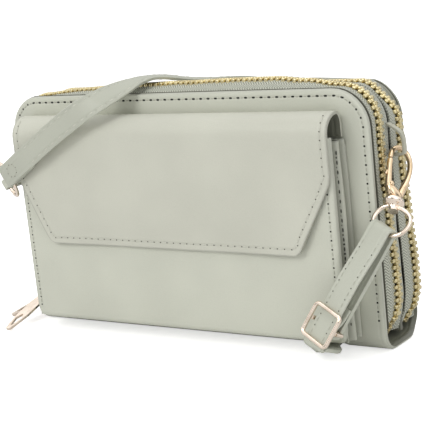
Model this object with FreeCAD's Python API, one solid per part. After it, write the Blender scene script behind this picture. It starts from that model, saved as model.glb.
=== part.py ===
import FreeCAD
import Part
import math
import os
from FreeCAD import Vector as V

# All sizes in millimetres. X runs to the right, Y to the back, Z up.
# The pouch stands on its bottom: z = 0 is the floor, x = y = 0 the middle of the body.

# zipped body
half_width = 100.0
body_height = 116.0
body_half_depth = 20.0
cover_thickness = 2.4
cover_corner_radius = 17.0
cover_edge_round = 0.7
back_trim = 4.0
wrap_top = 14.0
wrap_round = 9.0
wrap_corner = 9.0
bottom_thickness = 4.6
lining_thickness = 0.8
lining_inset = 4.0
divider_half_thickness = 1.2

# zip chains
zip_centre = 9.2
tape_inset = 1.0
tape_thickness = 0.9
tape_edge_gap = 2.2
tape_bottom = 6.0
chain_rise = 4.2
chain_flare = 3.2
divider_flare = 1.6
flare_top = 80.0
tooth_pitch = 3.6
tooth_length = 1.3
tooth_reach = 3.2
tooth_height = 2.6
chain_start = 18.5

# sliders and pulls
slider_width = 8.4
slider_length = 11.0
slider_plate = 1.5
slider_bottom = 5.0
slider_gap = 0.6
slider_post_width = 1.6
slider_post_length = 3.2
bail_bar_radius = 0.8
bail_hole = 3.0
bail_length = 7.0
bail_leg = 1.4
bail_width = 2.4
pull_eye_half = 2.9
pull_eye_hole = 1.25
pull_eye_lift = 0.5
pull_thickness = 1.2
pull_length = 33.5
pull_neck_half = 2.3
pull_half_width = 3.3
pull_shoulder = 7.0
pull_taper_start = 20.0
pull_tip_half = 1.4
pull_tip_round = 1.1
pull_hole_points = [(19.5, 0.4), (23.0, 1.8), (30.2, 0.45)]
pull_drop = 13.5
front_pull_aim = -84.0
rear_pull_aim = -112.0

# strap tabs
tab_width = 5.0
tab_thickness = 1.4
tab_middle = -2.3
tab_high_drop = 15.0
tab_low_drop = 31.8
tab_high = body_height - tab_high_drop
tab_low = body_height - tab_low_drop
tab_shoulder = 3.4
tab_loop = 3.0
tab_loop_drop = 0.7
left_tab_width = 5.0

# phone pocket
pocket_side_margin = 13.5
pocket_half_width = half_width - pocket_side_margin
pocket_front = 33.0
pocket_panel = 1.6
pocket_back_panel = 1.2
pocket_bottom_height = 7.0
pocket_top_drop = 19.0
pocket_back_drop = 4.5
pocket_top = body_height - pocket_top_drop
pocket_back_top = pocket_top - pocket_back_drop
pocket_corner = 5.0
gusset_lip = 1.5
gusset_tuck = 6.5
gusset_out = pocket_half_width + gusset_lip
gusset_fold = gusset_out - gusset_tuck
gusset_thickness = 1.2
gusset_drop = 2.0
gusset_top = pocket_top - gusset_drop
fit_gap = 0.05

# flap
flap_overhang = 1.0
flap_half_width = pocket_half_width + flap_overhang
flap_thickness = 1.4
flap_front = 35.8
flap_bottom = 46.5
flap_chamfer_top = 79.0
flap_chamfer_in = 15.5
flap_chamfer_low = 50.0
flap_corner_radius = 4.0
flap_axis_depth = 25.0
flap_axis_drop = 8.6
flap_axis_height = body_height - flap_axis_drop
flap_bead_radius = 1.15
flap_bead_gap = 0.35
flap_root_reach = 11.8
flap_root_bend = 6.4
flap_shoulder = 9.4
flap_root_bottom = flap_axis_height - flap_root_reach
flap_root_straight = flap_axis_height - flap_root_bend
flap_front_straight = flap_axis_height - flap_shoulder
magnet_radius = 6.0
magnet_thickness = 0.8
magnet_height = 58.0

# trigger clasp, in its own frame: the hook hangs down from the tab
clasp_out = 3.4
clasp_back = 1.2
clasp_drop = 29.7
clasp_top = V(half_width + clasp_out, clasp_back, body_height - clasp_drop)
clasp_aim = V(0.165, -0.71, -0.685)
hook_wire = 2.4
hook_radius = 6.2
nose_length = 3.0
clasp_body_top = 17.0
clasp_body_bottom = 25.0
clasp_body_half = 2.2
clasp_neck_half = 3.6
gate_gap = 0.45
gate_pivot_drop = 19.2
gate_pivot_across = 4.9
gate_barrel_radius = 1.5
gate_half = 1.0
gate_slot_half = 1.4
gate_pin_radius = 0.7
gate_hole_radius = 1.05
gate_thumb = 1.5
post_radius = 1.5
post_hole_radius = 1.9
post_head_radius = 2.3
post_head_height = 1.2
boss_top = 25.5
boss_bottom = 31.0
boss_half_width = 4.0
boss_half_depth = 2.6
ring_wire_radius = 1.15
ring_half_width = 8.85
ring_half_height = 6.4
ring_corner = 2.7
ring_shoulder = 5.4
ring_centre_drop = 37.0
ring_turn = 36.5

# left ring and its tab
left_bar_in = 5.8
left_bar_ahead = 3.3
left_bar_drop = 35.1
left_bar = V(-half_width + left_bar_in, -pocket_front - left_bar_ahead, body_height - left_bar_drop)
left_ring_aim = V(-0.68, 0.592, -0.433)
left_strap_reach = V(14.0, -8.7, 8.9)
left_strap_bend = left_bar + left_strap_reach
left_tab_out = 4.2
left_tab_ahead = 2.0
left_tab_drop = 38.0
left_tab_root = V(-half_width - left_tab_out, -left_tab_ahead, body_height - left_tab_drop)
left_tab_half = 0.8
left_tab_seam = 3.2

# rounding shares
pull_round_share = 0.8
slot_round_share = 0.95
boss_round_share = 0.8
tab_wrap_angle = 105.0
left_tab_open_angle = 50.0

# strap stations: place, direction of the run, direction across
strap_floor_turn = (V(-0.3, 0.55, -0.55), V(-0.3, 0.9, 0.0))
strap_heel_turn = (V(0.15, -0.45, -0.88), V(0.05, -0.95, -0.25))
strap_over_start = V(-half_width, -pocket_front, body_height)
strap_over_steps = [V(48.5, -8.2, -15.4), V(62.4, -4.8, -4.0), V(67.0, 6.0, 1.0)]
strap_over_steps.extend([V(68.0, 17.0, 3.6), V(71.5, 24.4, 6.0), V(80.0, 31.0, 6.5)])
strap_over_steps.extend([V(89.0, 37.5, 6.2), V(98.0, 45.0, 4.6), V(106.0, 54.5, 2.4)])
strap_over_steps.extend([V(114.0, 66.0, -2.5), V(120.0, 77.0, -9.0), V(123.2, 84.0, -14.5)])
strap_over_places = [strap_over_start + step for step in strap_over_steps]
strap_over_runs = [V(0.82, 0.05, 0.56), V(0.5, 0.55, 0.65), V(0.25, 0.88, 0.4)]
strap_over_runs.extend([V(0.35, 0.9, 0.27), V(0.6, 0.75, 0.12), V(0.8, 0.6, 0.0)])
strap_over_runs.extend([V(0.78, 0.61, -0.12), V(0.7, 0.68, -0.22), V(0.6, 0.72, -0.35)])
strap_over_runs.extend([V(0.5, 0.7, -0.5), V(0.42, 0.6, -0.68), V(0.38, 0.35, -0.86)])
strap_over_sides = [V(0.55, 0.0, -0.82), V(0.66, -0.25, -0.68), V(0.85, -0.4, -0.32)]
strap_over_sides.extend([V(0.85, -0.48, -0.1), V(0.78, -0.62, 0.0), V(0.6, -0.8, 0.0)])
strap_over_sides.extend([V(0.6, -0.79, 0.02), V(0.7, -0.7, 0.05), V(0.78, -0.6, 0.1)])
strap_over_sides.extend([V(0.84, -0.4, 0.25), V(0.88, -0.2, 0.36), V(0.9, -0.08, 0.42)])

# strap
strap_width = 12.0
strap_thickness = 1.6
strap_loop_gap = 0.3
buckle_in = 13.6
buckle_ahead = 10.9
buckle_height = 18.6
buckle_centre = V(half_width - buckle_in, -pocket_front - buckle_ahead, buckle_height)
buckle_half_length = 7.2
buckle_bar_radius = 0.95
buckle_inner_half = 6.6
buckle_gap = 0.25
fold_tail = 11.0
channel_half = 7.4
channel_depth = 2.5
under_in = 32.0
under_x = half_width - under_in
under_height = 1.1
hank_runs = 7
hank_spacing = 5.0
hank_first = 53.0
hank_tilt = 25.0
hank_top_drop = 20.0
hank_top = body_height - hank_top_drop
hank_low = 6.5
hank_low_in = 34.0
hank_low_x = half_width - hank_low_in
hank_gap_limit = 0.4
tie_drop = 50.0
tie_wall = 1.0
tie_width = 5.0
tie_gap = 0.4
arc_steps = 8


def save(name, shape):
    shape.exportStep("parts/" + name + ".step")
    print(name, "volume", round(shape.Volume, 1), "valid", shape.isValid())


def box(x0, x1, y0, y1, z0, z1):
    return Part.makeBox(x1 - x0, y1 - y0, z1 - z0, V(x0, y0, z0))


def face_of(points):
    return Part.Face(Part.makePolygon(points + points[:1]))


def arched_edges(inset, low, rise=0.0, flare=0.0, trim=0.0):
    # body outline seen from the front, from the left foot over the top to the right foot:
    # rise bows the top up, flare leads the right side out at the foot, trim narrows the right side
    w = half_width - inset
    h = body_height - inset
    r = cover_corner_radius - inset
    d = r * math.sqrt(0.5)
    right = w - trim
    a = V(-w, 0, low)
    b = V(-w, 0, h - r)
    bc = V(-w + r - d, 0, h - r + d)
    c = V(-w + r, 0, h)
    e = V(right - r, 0, h)
    ef = V(right - r + d, 0, h - r + d)
    f = V(right, 0, h - r)
    g = V(right, 0, flare_top)
    k = V(right + flare, 0, low)
    edges = [Part.makeLine(a, b)]
    edges.append(Part.Arc(b, bc, c).toShape())
    if rise > 0:
        edges.append(Part.Arc(c, V((c.x + e.x) / 2, 0, h + rise), e).toShape())
    else:
        edges.append(Part.makeLine(c, e))
    edges.append(Part.Arc(e, ef, f).toShape())
    edges.append(Part.makeLine(f, g))
    edges.append(Part.makeLine(g, k))
    return edges, a, k


def arched_wire(inset, low, rise=0.0, flare=0.0, trim=0.0):
    edges, a, k = arched_edges(inset, low, rise, flare, trim)
    return Part.Wire(edges + [Part.makeLine(k, a)])


def arched_plate(inset, low, y0, y1, flare=0.0, trim=0.0):
    face = Part.Face(arched_wire(inset, low, 0.0, flare, trim))
    face.translate(V(0, y0, 0))
    return face.extrude(V(0, y1 - y0, 0)).removeSplitter()


def strip_face(path, thickness, closed_plane):
    # flat strip seen edge-on: a polyline thickened to both sides inside its plane
    first, second = closed_plane
    left = []
    right = []
    count = len(path)
    for i in range(count):
        ahead = path[min(i + 1, count - 1)]
        behind = path[max(i - 1, 0)]
        along = (ahead[0] - behind[0], ahead[1] - behind[1])
        size = math.hypot(along[0], along[1])
        normal = (-along[1] / size, along[0] / size)
        half = thickness / 2
        p = path[i]
        left.append((p[0] + normal[0] * half, p[1] + normal[1] * half))
        right.append((p[0] - normal[0] * half, p[1] - normal[1] * half))
    ring = left + right[::-1]
    return face_of([first * q[0] + second * q[1] for q in ring])


def arc_points(centre, radius, start, end, steps):
    points = []
    for i in range(steps + 1):
        angle = math.radians(start + (end - start) * i / steps)
        points.append((centre[0] + radius * math.cos(angle), centre[1] + radius * math.sin(angle)))
    return points


def band(stations, width, thickness):
    # flat strap through given stations: each is a point, the run direction and the way across
    wires = []
    for point, along, across in stations:
        run = V(along).normalize()
        side = across - run * across.dot(run)
        side = V(side).normalize()
        up = side.cross(run)
        a = side * (width / 2)
        b = up * (thickness / 2)
        corners = [point + a + b, point - a + b, point - a - b, point + a - b]
        wires.append(Part.makePolygon(corners + corners[:1]))
    return Part.makeLoft(wires, True, True)


def placed(shape, origin, x_axis, z_axis):
    z = V(z_axis).normalize()
    x = x_axis - z * x_axis.dot(z)
    x = V(x).normalize()
    y = z.cross(x)
    m = FreeCAD.Matrix(x.x, y.x, z.x, origin.x, x.y, y.y, z.y, origin.y, x.z, y.z, z.z, origin.z, 0, 0, 0, 1)
    copy = shape.copy()
    copy.Placement = FreeCAD.Placement(m)
    return copy


def make_covers():
    y0 = body_half_depth
    y1 = body_half_depth - cover_thickness
    for name, trim in (("front_cover", 0.0), ("back_cover", back_trim)):
        cover = arched_plate(0, wrap_top, -y0, -y1, 0.0, trim)
        outer = [e for e in cover.Edges if abs(e.BoundBox.YMax + y0) < fit_gap and e.BoundBox.ZMax > wrap_top + 1]
        cover = cover.makeFillet(cover_edge_round, outer)
        if trim > 0:
            cover = cover.mirror(V(0, 0, 0), V(0, 1, 0))
        save(name, cover)


def make_bottom_wrap():
    d = body_half_depth
    t = cover_thickness
    outer = box(-half_width, half_width, -d, d, 0, wrap_top + wrap_round)
    low = [e for e in outer.Edges if e.BoundBox.ZMax < fit_gap and e.BoundBox.XLength > half_width]
    outer = outer.makeFillet(wrap_round, low)
    outer = outer.common(box(-half_width, half_width, -d, d, 0, wrap_top))
    inner = box(-half_width - t, half_width + t, -d + t, d - t, bottom_thickness, wrap_top + wrap_round)
    long_edges = [e for e in inner.Edges if e.BoundBox.XLength > half_width]
    low = [e for e in long_edges if e.BoundBox.ZMax < bottom_thickness + fit_gap]
    inner = inner.makeFillet(wrap_round - t, low)
    wrap = outer.cut(inner)
    # shallow hollow where the soft bottom is pressed up over the strap it stands on
    slope = channel_depth
    points = [V(under_x - channel_half - slope, -d - t, 0), V(under_x + channel_half + slope, -d - t, 0)]
    points.append(V(under_x + channel_half, -d - t, channel_depth))
    points.append(V(under_x - channel_half, -d - t, channel_depth))
    channel = face_of(points).extrude(V(0, 2 * (d + t), 0))
    wrap = wrap.cut(channel)
    # right rear corner rounded to meet the narrower back cover
    r = wrap_corner
    corner = box(half_width - r, half_width + t, d - r, d + t, 0, wrap_top)
    corner = corner.cut(Part.makeCylinder(r, wrap_top, V(half_width - r, d - r, 0)))
    wrap = wrap.cut(corner)
    save("bottom_wrap", wrap)
    return wrap


def make_inside():
    y1 = body_half_depth - cover_thickness
    low = wrap_top + fit_gap
    save("front_lining", arched_plate(lining_inset, low, -y1, -y1 + lining_thickness))
    save("back_lining", arched_plate(lining_inset, low, y1 - lining_thickness, y1, 0.0, back_trim))
    low = bottom_thickness + fit_gap
    divider = arched_plate(tape_inset, low, -divider_half_thickness, divider_half_thickness, divider_flare)
    save("divider_panel", divider)


def tape_solid(inset, low, ends):
    # ends: depth, rise, flare and trim at the two long edges of the tape
    wires = []
    for y, rise, flare, trim in ends:
        wire = arched_wire(inset, low, rise, flare, trim)
        wire.translate(V(0, y, 0))
        wires.append(wire)
    return Part.makeLoft(wires, True, True)


def tape_band(ends):
    outer = tape_solid(tape_inset, tape_bottom, ends)
    y0, y1 = ends[0][0], ends[1][0]
    # the inner cut follows the same slope a little past both edges
    over = []
    for k, (y, rise, flare, trim) in enumerate(ends):
        other = ends[1 - k]
        share = tape_thickness / abs(y1 - y0)
        step = [a + (a - b) * share for a, b in zip((y, rise, flare, trim), other)]
        over.append((step[0], max(step[1], 0.0), step[2], step[3]))
    inner = tape_solid(tape_inset + tape_thickness, tape_bottom - tape_thickness, over)
    return outer.cut(inner)


def chain_edges(rise):
    return arched_edges(tape_inset + tape_thickness / 2, tape_bottom, rise, chain_flare)[0]


def chain_station(edges, s):
    # point on the chain at distance s from the left foot and its outward direction
    for edge in edges:
        if s <= edge.Length:
            u = edge.getParameterByLength(s)
            run = edge.tangentAt(u)
            return edge.valueAt(u), math.degrees(math.atan2(run.x, -run.z))
        s = s - edge.Length
    return None, 0.0


def tooth_row(y0, y1, offset, rise):
    edges = chain_edges(rise)
    total = sum(edge.Length for edge in edges)
    teeth = []
    s = chain_start - tape_bottom + offset
    while s < total - tooth_length:
        point, angle = chain_station(edges, s)
        tooth = box(-tooth_height / 2, tooth_height / 2, y0, y1, -tooth_length / 2, tooth_length / 2)
        tooth.rotate(V(0, 0, 0), V(0, -1, 0), angle)
        tooth.translate(point)
        teeth.append(tooth)
        s = s + tooth_pitch
    return Part.makeCompound(teeth)


def make_zips(wrap):
    inner_face = body_half_depth - cover_thickness
    for name, sign, rise, trim in (("front", -1, chain_rise, 0.0), ("rear", 1, 0.0, back_trim)):
        outer_edge = zip_centre + tape_edge_gap
        inner_edge = zip_centre - tape_edge_gap
        cover_side = (sign * inner_face, 0.0, 0.0, trim)
        chain_out = (sign * outer_edge, rise, chain_flare, 0.0)
        chain_in = (sign * inner_edge, rise, chain_flare, 0.0)
        divider_side = (sign * divider_half_thickness, 0.0, divider_flare, 0.0)
        save(name + "_zip_outer_tape", tape_band((cover_side, chain_out)).cut(wrap))
        save(name + "_zip_inner_tape", tape_band((chain_in, divider_side)).cut(wrap))
        a = (sign * outer_edge, sign * (outer_edge - tooth_reach))
        b = (sign * inner_edge, sign * (inner_edge + tooth_reach))
        save(name + "_zip_outer_teeth", tooth_row(min(a), max(a), 0.0, rise))
        save(name + "_zip_inner_teeth", tooth_row(min(b), max(b), tooth_pitch / 2, rise))


def make_slider(name, y):
    skin = half_width - tape_inset
    chain_out = skin - tape_thickness / 2 + tooth_height / 2
    chain_in = skin - tape_thickness / 2 - tooth_height / 2
    half = slider_width / 2
    z0 = slider_bottom
    z1 = slider_bottom + slider_length
    out0 = chain_out + slider_gap
    out1 = out0 + slider_plate
    in1 = chain_in - slider_gap
    in0 = in1 - slider_plate
    outer = box(-out1, -out0, y - half, y + half, z0, z1)
    inner = box(-in1, -in0, y - half, y + half, z0, z1)
    across = [e for e in outer.Edges if abs(e.BoundBox.XLength - slider_plate) < fit_gap]
    outer = outer.makeFillet(slider_width / 4, across)
    across = [e for e in inner.Edges if abs(e.BoundBox.XLength - slider_plate) < fit_gap]
    inner = inner.makeFillet(slider_width / 4, across)
    post_half = slider_post_width / 2
    post = box(-out0 - fit_gap, -in1 + fit_gap, y - post_half, y + post_half, z1 - slider_post_length, z1)
    # bridge on the outside: two legs and a round bar along the chain for the pull
    leg_half = bail_width / 2
    low = (z0 + z1 - bail_length) / 2
    high = low + bail_length
    bar_x = out1 + bail_hole + bail_bar_radius
    legs = []
    for z in (low, high - bail_leg):
        legs.append(box(-bar_x, -out1 + fit_gap, y - leg_half, y + leg_half, z, z + bail_leg))
        legs.append(Part.makeCylinder(leg_half, bail_leg, V(-bar_x, y, z), V(0, 0, 1)))
    bar = Part.makeCylinder(bail_bar_radius, bail_length, V(-bar_x, y, low), V(0, 0, 1))
    body = outer.fuse([inner, post, bar] + legs).removeSplitter()
    save(name, body)
    return V(-bar_x, y, low + bail_leg + pull_thickness / 2 + pull_eye_lift)


def make_pull(name, axis, aim):
    # flat pull threaded on the bridge bar by its eye, tapered to a blunt tip with a pointed hole
    t = pull_thickness
    half = [(0.0, pull_neck_half), (pull_shoulder, pull_half_width)]
    half.extend([(pull_taper_start, pull_half_width), (pull_length, pull_tip_half)])
    outline = [V(x, y, -t / 2) for x, y in half] + [V(x, -y, -t / 2) for x, y in half[::-1]]
    plate = face_of(outline).extrude(V(0, 0, t))
    tip = [e for e in plate.Edges if e.BoundBox.XMin > pull_length - fit_gap and e.BoundBox.YLength < fit_gap]
    plate = plate.makeFillet(pull_tip_round, tip)
    eye = Part.makeCylinder(pull_eye_half, t, V(0, 0, -t / 2))
    plate = plate.fuse(eye).removeSplitter()
    points = pull_hole_points
    opening = [V(x, y, -t) for x, y in points] + [V(x, -y, -t) for x, y in points[::-1]]
    plate = plate.cut(face_of(opening).extrude(V(0, 0, 2 * t)))
    plate = plate.cut(Part.makeCylinder(pull_eye_hole, 2 * t, V(0, 0, -t)))
    plate.rotate(V(0, 0, 0), V(0, 1, 0), pull_drop)
    plate.rotate(V(0, 0, 0), V(0, 0, 1), aim)
    plate.translate(axis)
    save(name, plate)


def make_sliders():
    front = make_slider("front_zip_slider", -zip_centre)
    rear = make_slider("rear_zip_slider", zip_centre)
    print("bridge bars", front, rear)
    make_pull("front_zip_pull", front, front_pull_aim)
    make_pull("rear_zip_pull", rear, rear_pull_aim)


def hook_contact():
    # highest point of the hook arch, where it hangs in the tab
    aim = V(clasp_aim).normalize()
    bend = hook_radius - hook_wire / 2
    return clasp_top + aim * bend + V(0, 0, bend)


def make_right_tab():
    # strip sewn to the divider edge, bowed out and looped under the hook
    face = half_width - tape_inset + fit_gap
    t = tab_thickness
    spot = hook_contact()
    cx = spot.x
    cz = spot.z - tab_loop_drop
    r = tab_loop
    path = [(face + t / 2, tab_high), (face + tab_shoulder, tab_high - tab_shoulder)]
    path.append((cx + r - t / 4, cz + 2 * r))
    path.extend(arc_points((cx, cz), r, 0, -tab_wrap_angle, arc_steps))
    path.append((face + t, tab_low))
    path.append((face - t, tab_low))
    strip = strip_face(path, t, (V(1, 0, 0), V(0, 0, 1)))
    strip.translate(V(0, tab_middle - tab_width / 2, 0))
    tab = strip.extrude(V(0, tab_width, 0))
    reach = 2 * half_width
    save("right_strap_tab", tab.cut(box(0, face, -reach, reach, 0, reach)))


def make_pocket():
    w = pocket_half_width
    y0 = -pocket_front
    y1 = y0 + pocket_panel
    z0 = pocket_bottom_height
    front = box(-w - gusset_thickness, w + gusset_thickness, y0, y1, z0, pocket_top)
    corners = [e for e in front.Edges if abs(e.BoundBox.YLength - pocket_panel) < fit_gap]
    low = [e for e in corners if e.BoundBox.ZMax < z0 + fit_gap]
    front = front.makeFillet(pocket_corner, low)
    save("pocket_front_panel", front)
    skin = -body_half_depth
    back = box(-w, w, skin - pocket_back_panel, skin, z0, pocket_back_top)
    save("pocket_back_panel", back)
    y2 = skin - pocket_back_panel
    inside = gusset_fold - gusset_thickness
    floor = box(-inside, inside, y1, y2, z0, z0 + pocket_panel)
    save("pocket_bottom_strip", floor)
    middle = (y1 + y2) / 2
    t = gusset_thickness / 2
    lean = t / 2
    path = [(gusset_out - t, y1), (gusset_out - t - lean, y1 + t), (gusset_fold + t, middle)]
    path.append((gusset_out - t - lean, y2 - t))
    path.append((gusset_out - t, y2))
    strip = strip_face(path, gusset_thickness, (V(1, 0, 0), V(0, 1, 0)))
    strip.translate(V(0, 0, z0))
    right = strip.extrude(V(0, 0, gusset_top - z0))
    right = right.common(box(0, half_width, y1 + fit_gap, y2 - fit_gap, z0, gusset_top))
    save("pocket_gusset_right", right)
    save("pocket_gusset_left", right.mirror(V(0, 0, 0), V(1, 0, 0)))
    magnet = Part.makeCylinder(magnet_radius, magnet_thickness, V(0, y1, magnet_height), V(0, 1, 0))
    save("pocket_magnet", magnet)


def flap_outline():
    w = flap_half_width
    low_w = w - flap_chamfer_in
    r = flap_corner_radius
    high = flap_axis_height + 2 * flap_bead_radius
    p = [V(-w, 0, high), V(-w, 0, flap_chamfer_top), V(-low_w, 0, flap_chamfer_low)]
    p.append(V(-low_w + r, 0, flap_bottom))
    p.append(V(low_w - r, 0, flap_bottom))
    p.append(V(low_w, 0, flap_chamfer_low))
    p.append(V(w, 0, flap_chamfer_top))
    p.append(V(w, 0, high))
    prism = face_of(p).extrude(V(0, -2 * pocket_front, 0))
    upright = [e for e in prism.Edges if e.BoundBox.YLength > pocket_front]
    shoulder = [e for e in upright if abs(e.BoundBox.ZMax - flap_chamfer_top) < fit_gap]
    prism = prism.makeFillet(flap_corner_radius, shoulder)
    return prism


def make_flap():
    ay = -flap_axis_depth
    az = flap_axis_height
    t = flap_thickness
    y_front = -flap_front + t / 2
    # the moving sheet: bead on the fold line, round shoulder, straight front
    path = [(ay - flap_bead_radius / 2, az)]
    reach = abs(y_front - ay)
    drop = az - flap_front_straight
    for i in range(1, arc_steps + 1):
        angle = math.radians(90 + 90 * i / arc_steps)
        path.append((ay + reach * math.cos(angle), flap_front_straight + drop * math.sin(angle)))
    path.append((y_front, flap_bottom))
    sheet = strip_face(path, t, (V(0, 1, 0), V(0, 0, 1)))
    sheet.translate(V(-flap_half_width, 0, 0))
    sheet = sheet.extrude(V(2 * flap_half_width, 0, 0))
    bead_from = V(-flap_half_width, ay, az)
    bead = Part.makeCylinder(flap_bead_radius, 2 * flap_half_width, bead_from, V(1, 0, 0))
    flap = sheet.fuse(bead).removeSplitter().common(flap_outline())
    save("flap", flap)
    # the sewn-down root strip stops short of the bead
    skin = -body_half_depth
    back_y = skin - t / 2 - fit_gap
    path = [(back_y, flap_root_bottom), (back_y, flap_root_straight)]
    reach = abs(ay - back_y)
    drop = az - flap_root_straight
    for i in range(1, arc_steps + 1):
        angle = math.radians(90 * i / arc_steps)
        path.append((ay + reach * math.cos(angle), flap_root_straight + drop * math.sin(angle)))
    root = strip_face(path, t, (V(0, 1, 0), V(0, 0, 1)))
    root.translate(V(-flap_half_width, 0, 0))
    root = root.extrude(V(2 * flap_half_width, 0, 0))
    clear = flap_bead_radius + flap_bead_gap
    bore = Part.makeCylinder(clear, 2 * half_width, V(-half_width, ay, az), V(1, 0, 0))
    ahead = box(-half_width, half_width, ay - clear, ay, az - 2 * clear, az + 2 * clear)
    save("flap_root_strip", root.cut(bore).cut(ahead))
    inner = -flap_front + t
    magnet = Part.makeCylinder(magnet_radius, magnet_thickness, V(0, inner, magnet_height), V(0, 1, 0))
    save("flap_magnet", magnet)


def clasp_place(shape):
    return placed(shape, clasp_top, V(1, 0, 0), V(0, 0, 0) - clasp_aim)


def make_clasp():
    # drawn hanging down -Z; across is Y, thickness is X; the arch wire passes through the origin
    r1 = hook_radius
    r0 = hook_radius - hook_wire
    h = hook_wire / 2
    cz = -(r1 + r0) / 2
    ring = Part.makeCylinder(r1, 2 * h, V(-h, 0, cz), V(1, 0, 0))
    ring = ring.cut(Part.makeCylinder(r0, 2 * h, V(-h, 0, cz), V(1, 0, 0)))
    arch = ring.common(box(-h, h, -r1, r1, cz, cz + r1))
    bar = box(-h, h, r0, r1, -clasp_body_top - fit_gap, cz)
    nose = box(-h, h, -r1, -r0, cz - nose_length, cz)
    hook = arch.fuse([bar, nose])
    b = clasp_body_half
    profile = [V(-b, -r1, -clasp_body_top), V(-b, r1, -clasp_body_top)]
    shoulder = -(clasp_body_top + clasp_body_bottom) / 2
    profile.append(V(-b, r1, shoulder))
    profile.append(V(-b, clasp_neck_half, -clasp_body_bottom))
    profile.append(V(-b, -clasp_neck_half, -clasp_body_bottom))
    profile.append(V(-b, -r1, shoulder))
    block = face_of(profile).extrude(V(2 * b, 0, 0))
    g = gate_slot_half
    pivot_y = -gate_pivot_across
    pivot_z = -gate_pivot_drop
    room = gate_barrel_radius + gate_gap
    slot = box(-g, g, -2 * r1, pivot_y + room, pivot_z - room, 0)
    pin_hole = Part.makeCylinder(gate_pin_radius, 2 * b, V(-b, pivot_y, pivot_z), V(1, 0, 0))
    block = block.cut(slot).cut(pin_hole)
    hook = hook.fuse(block).removeSplitter()
    save("clasp_hook", clasp_place(hook))
    pin = Part.makeCylinder(gate_pin_radius, 2 * b, V(-b, pivot_y, pivot_z), V(1, 0, 0))
    save("clasp_gate_pin", clasp_place(pin))
    w = gate_half
    barrel = Part.makeCylinder(gate_barrel_radius, 2 * w, V(-w, pivot_y, pivot_z), V(1, 0, 0))
    top = cz - nose_length - gate_gap
    lever = box(-w, w, -r1, -r0 - h / 2, pivot_z, top)
    thumb_low = (pivot_z + top) / 2
    thumb = box(-w, w, -r1 - gate_thumb, -r1 + fit_gap, thumb_low, thumb_low + 2 * gate_thumb)
    gate = barrel.fuse([lever, thumb]).removeSplitter()
    hole = Part.makeCylinder(gate_hole_radius, 2 * b, V(-b, pivot_y, pivot_z), V(1, 0, 0))
    save("clasp_gate", clasp_place(gate.cut(hole)))
    low = boss_bottom + strap_loop_gap
    post = Part.makeCylinder(post_radius, low - clasp_body_bottom, V(0, 0, -low), V(0, 0, 1))
    head = Part.makeCylinder(post_head_radius, post_head_height, V(0, 0, -low - post_head_height), V(0, 0, 1))
    save("clasp_swivel_post", clasp_place(post.fuse(head).removeSplitter()))
    boss_d = boss_half_depth
    boss = box(-boss_half_width, boss_half_width, -boss_d, boss_d, -boss_bottom, -boss_top)
    upright = [e for e in boss.Edges if e.BoundBox.ZLength > fit_gap]
    boss = boss.makeFillet(boss_d * boss_round_share, upright)
    wire = wire_ring(ring_half_width, ring_half_height, ring_shoulder, ring_corner, ring_wire_radius)
    wire.rotate(V(0, 0, 0), V(0, 1, 0), ring_turn)
    wire.translate(V(0, 0, -ring_centre_drop))
    head_room = box(-post_head_radius - gate_gap, post_head_radius + gate_gap, -boss_d, boss_d,
                    -ring_centre_drop, -boss_bottom)
    eye = boss.fuse(wire.cut(head_room)).removeSplitter()
    bore_from = V(0, 0, -boss_bottom)
    eye = eye.cut(Part.makeCylinder(post_hole_radius, 2 * ring_centre_drop, bore_from, V(0, 0, 1)))
    save("clasp_swivel_ring", clasp_place(eye))


def wire_ring(half_w, half_h, shoulder, corner, radius):
    # round wire bent to a rounded rectangle in the XZ plane: wide shoulders, tight lower corners
    w = half_w
    h = half_h
    a = shoulder
    b = corner
    q = 1 - math.sqrt(0.5)
    p = [V(-w + a, 0, h), V(w - a, 0, h), V(w, 0, h - a), V(w, 0, -h + b)]
    p.extend([V(w - b, 0, -h), V(-w + b, 0, -h), V(-w, 0, -h + b), V(-w, 0, h - a)])
    mids = [V(w - a * q, 0, h - a * q), V(w - b * q, 0, -h + b * q)]
    mids.extend([V(-w + b * q, 0, -h + b * q), V(-w + a * q, 0, h - a * q)])
    edges = [Part.makeLine(p[0], p[1]), Part.Arc(p[1], mids[0], p[2]).toShape()]
    edges.extend([Part.makeLine(p[2], p[3]), Part.Arc(p[3], mids[1], p[4]).toShape()])
    edges.extend([Part.makeLine(p[4], p[5]), Part.Arc(p[5], mids[2], p[6]).toShape()])
    edges.extend([Part.makeLine(p[6], p[7]), Part.Arc(p[7], mids[3], p[0]).toShape()])
    pieces = []
    for edge in edges:
        start = edge.valueAt(edge.FirstParameter)
        tangent = edge.tangentAt(edge.FirstParameter)
        section = Part.Wire([Part.makeCircle(radius, start, tangent)])
        pieces.append(Part.Wire([edge]).makePipeShell([section], True, True))
    return pieces[0].fuse(pieces[1:]).removeSplitter()


def left_ring_frame():
    # the ring bar lies square to the strap and to the ring's own pull
    aim = V(left_ring_aim).normalize()
    run = left_strap_bend - left_bar
    across = aim.cross(run)
    return aim, V(across).normalize()


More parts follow.
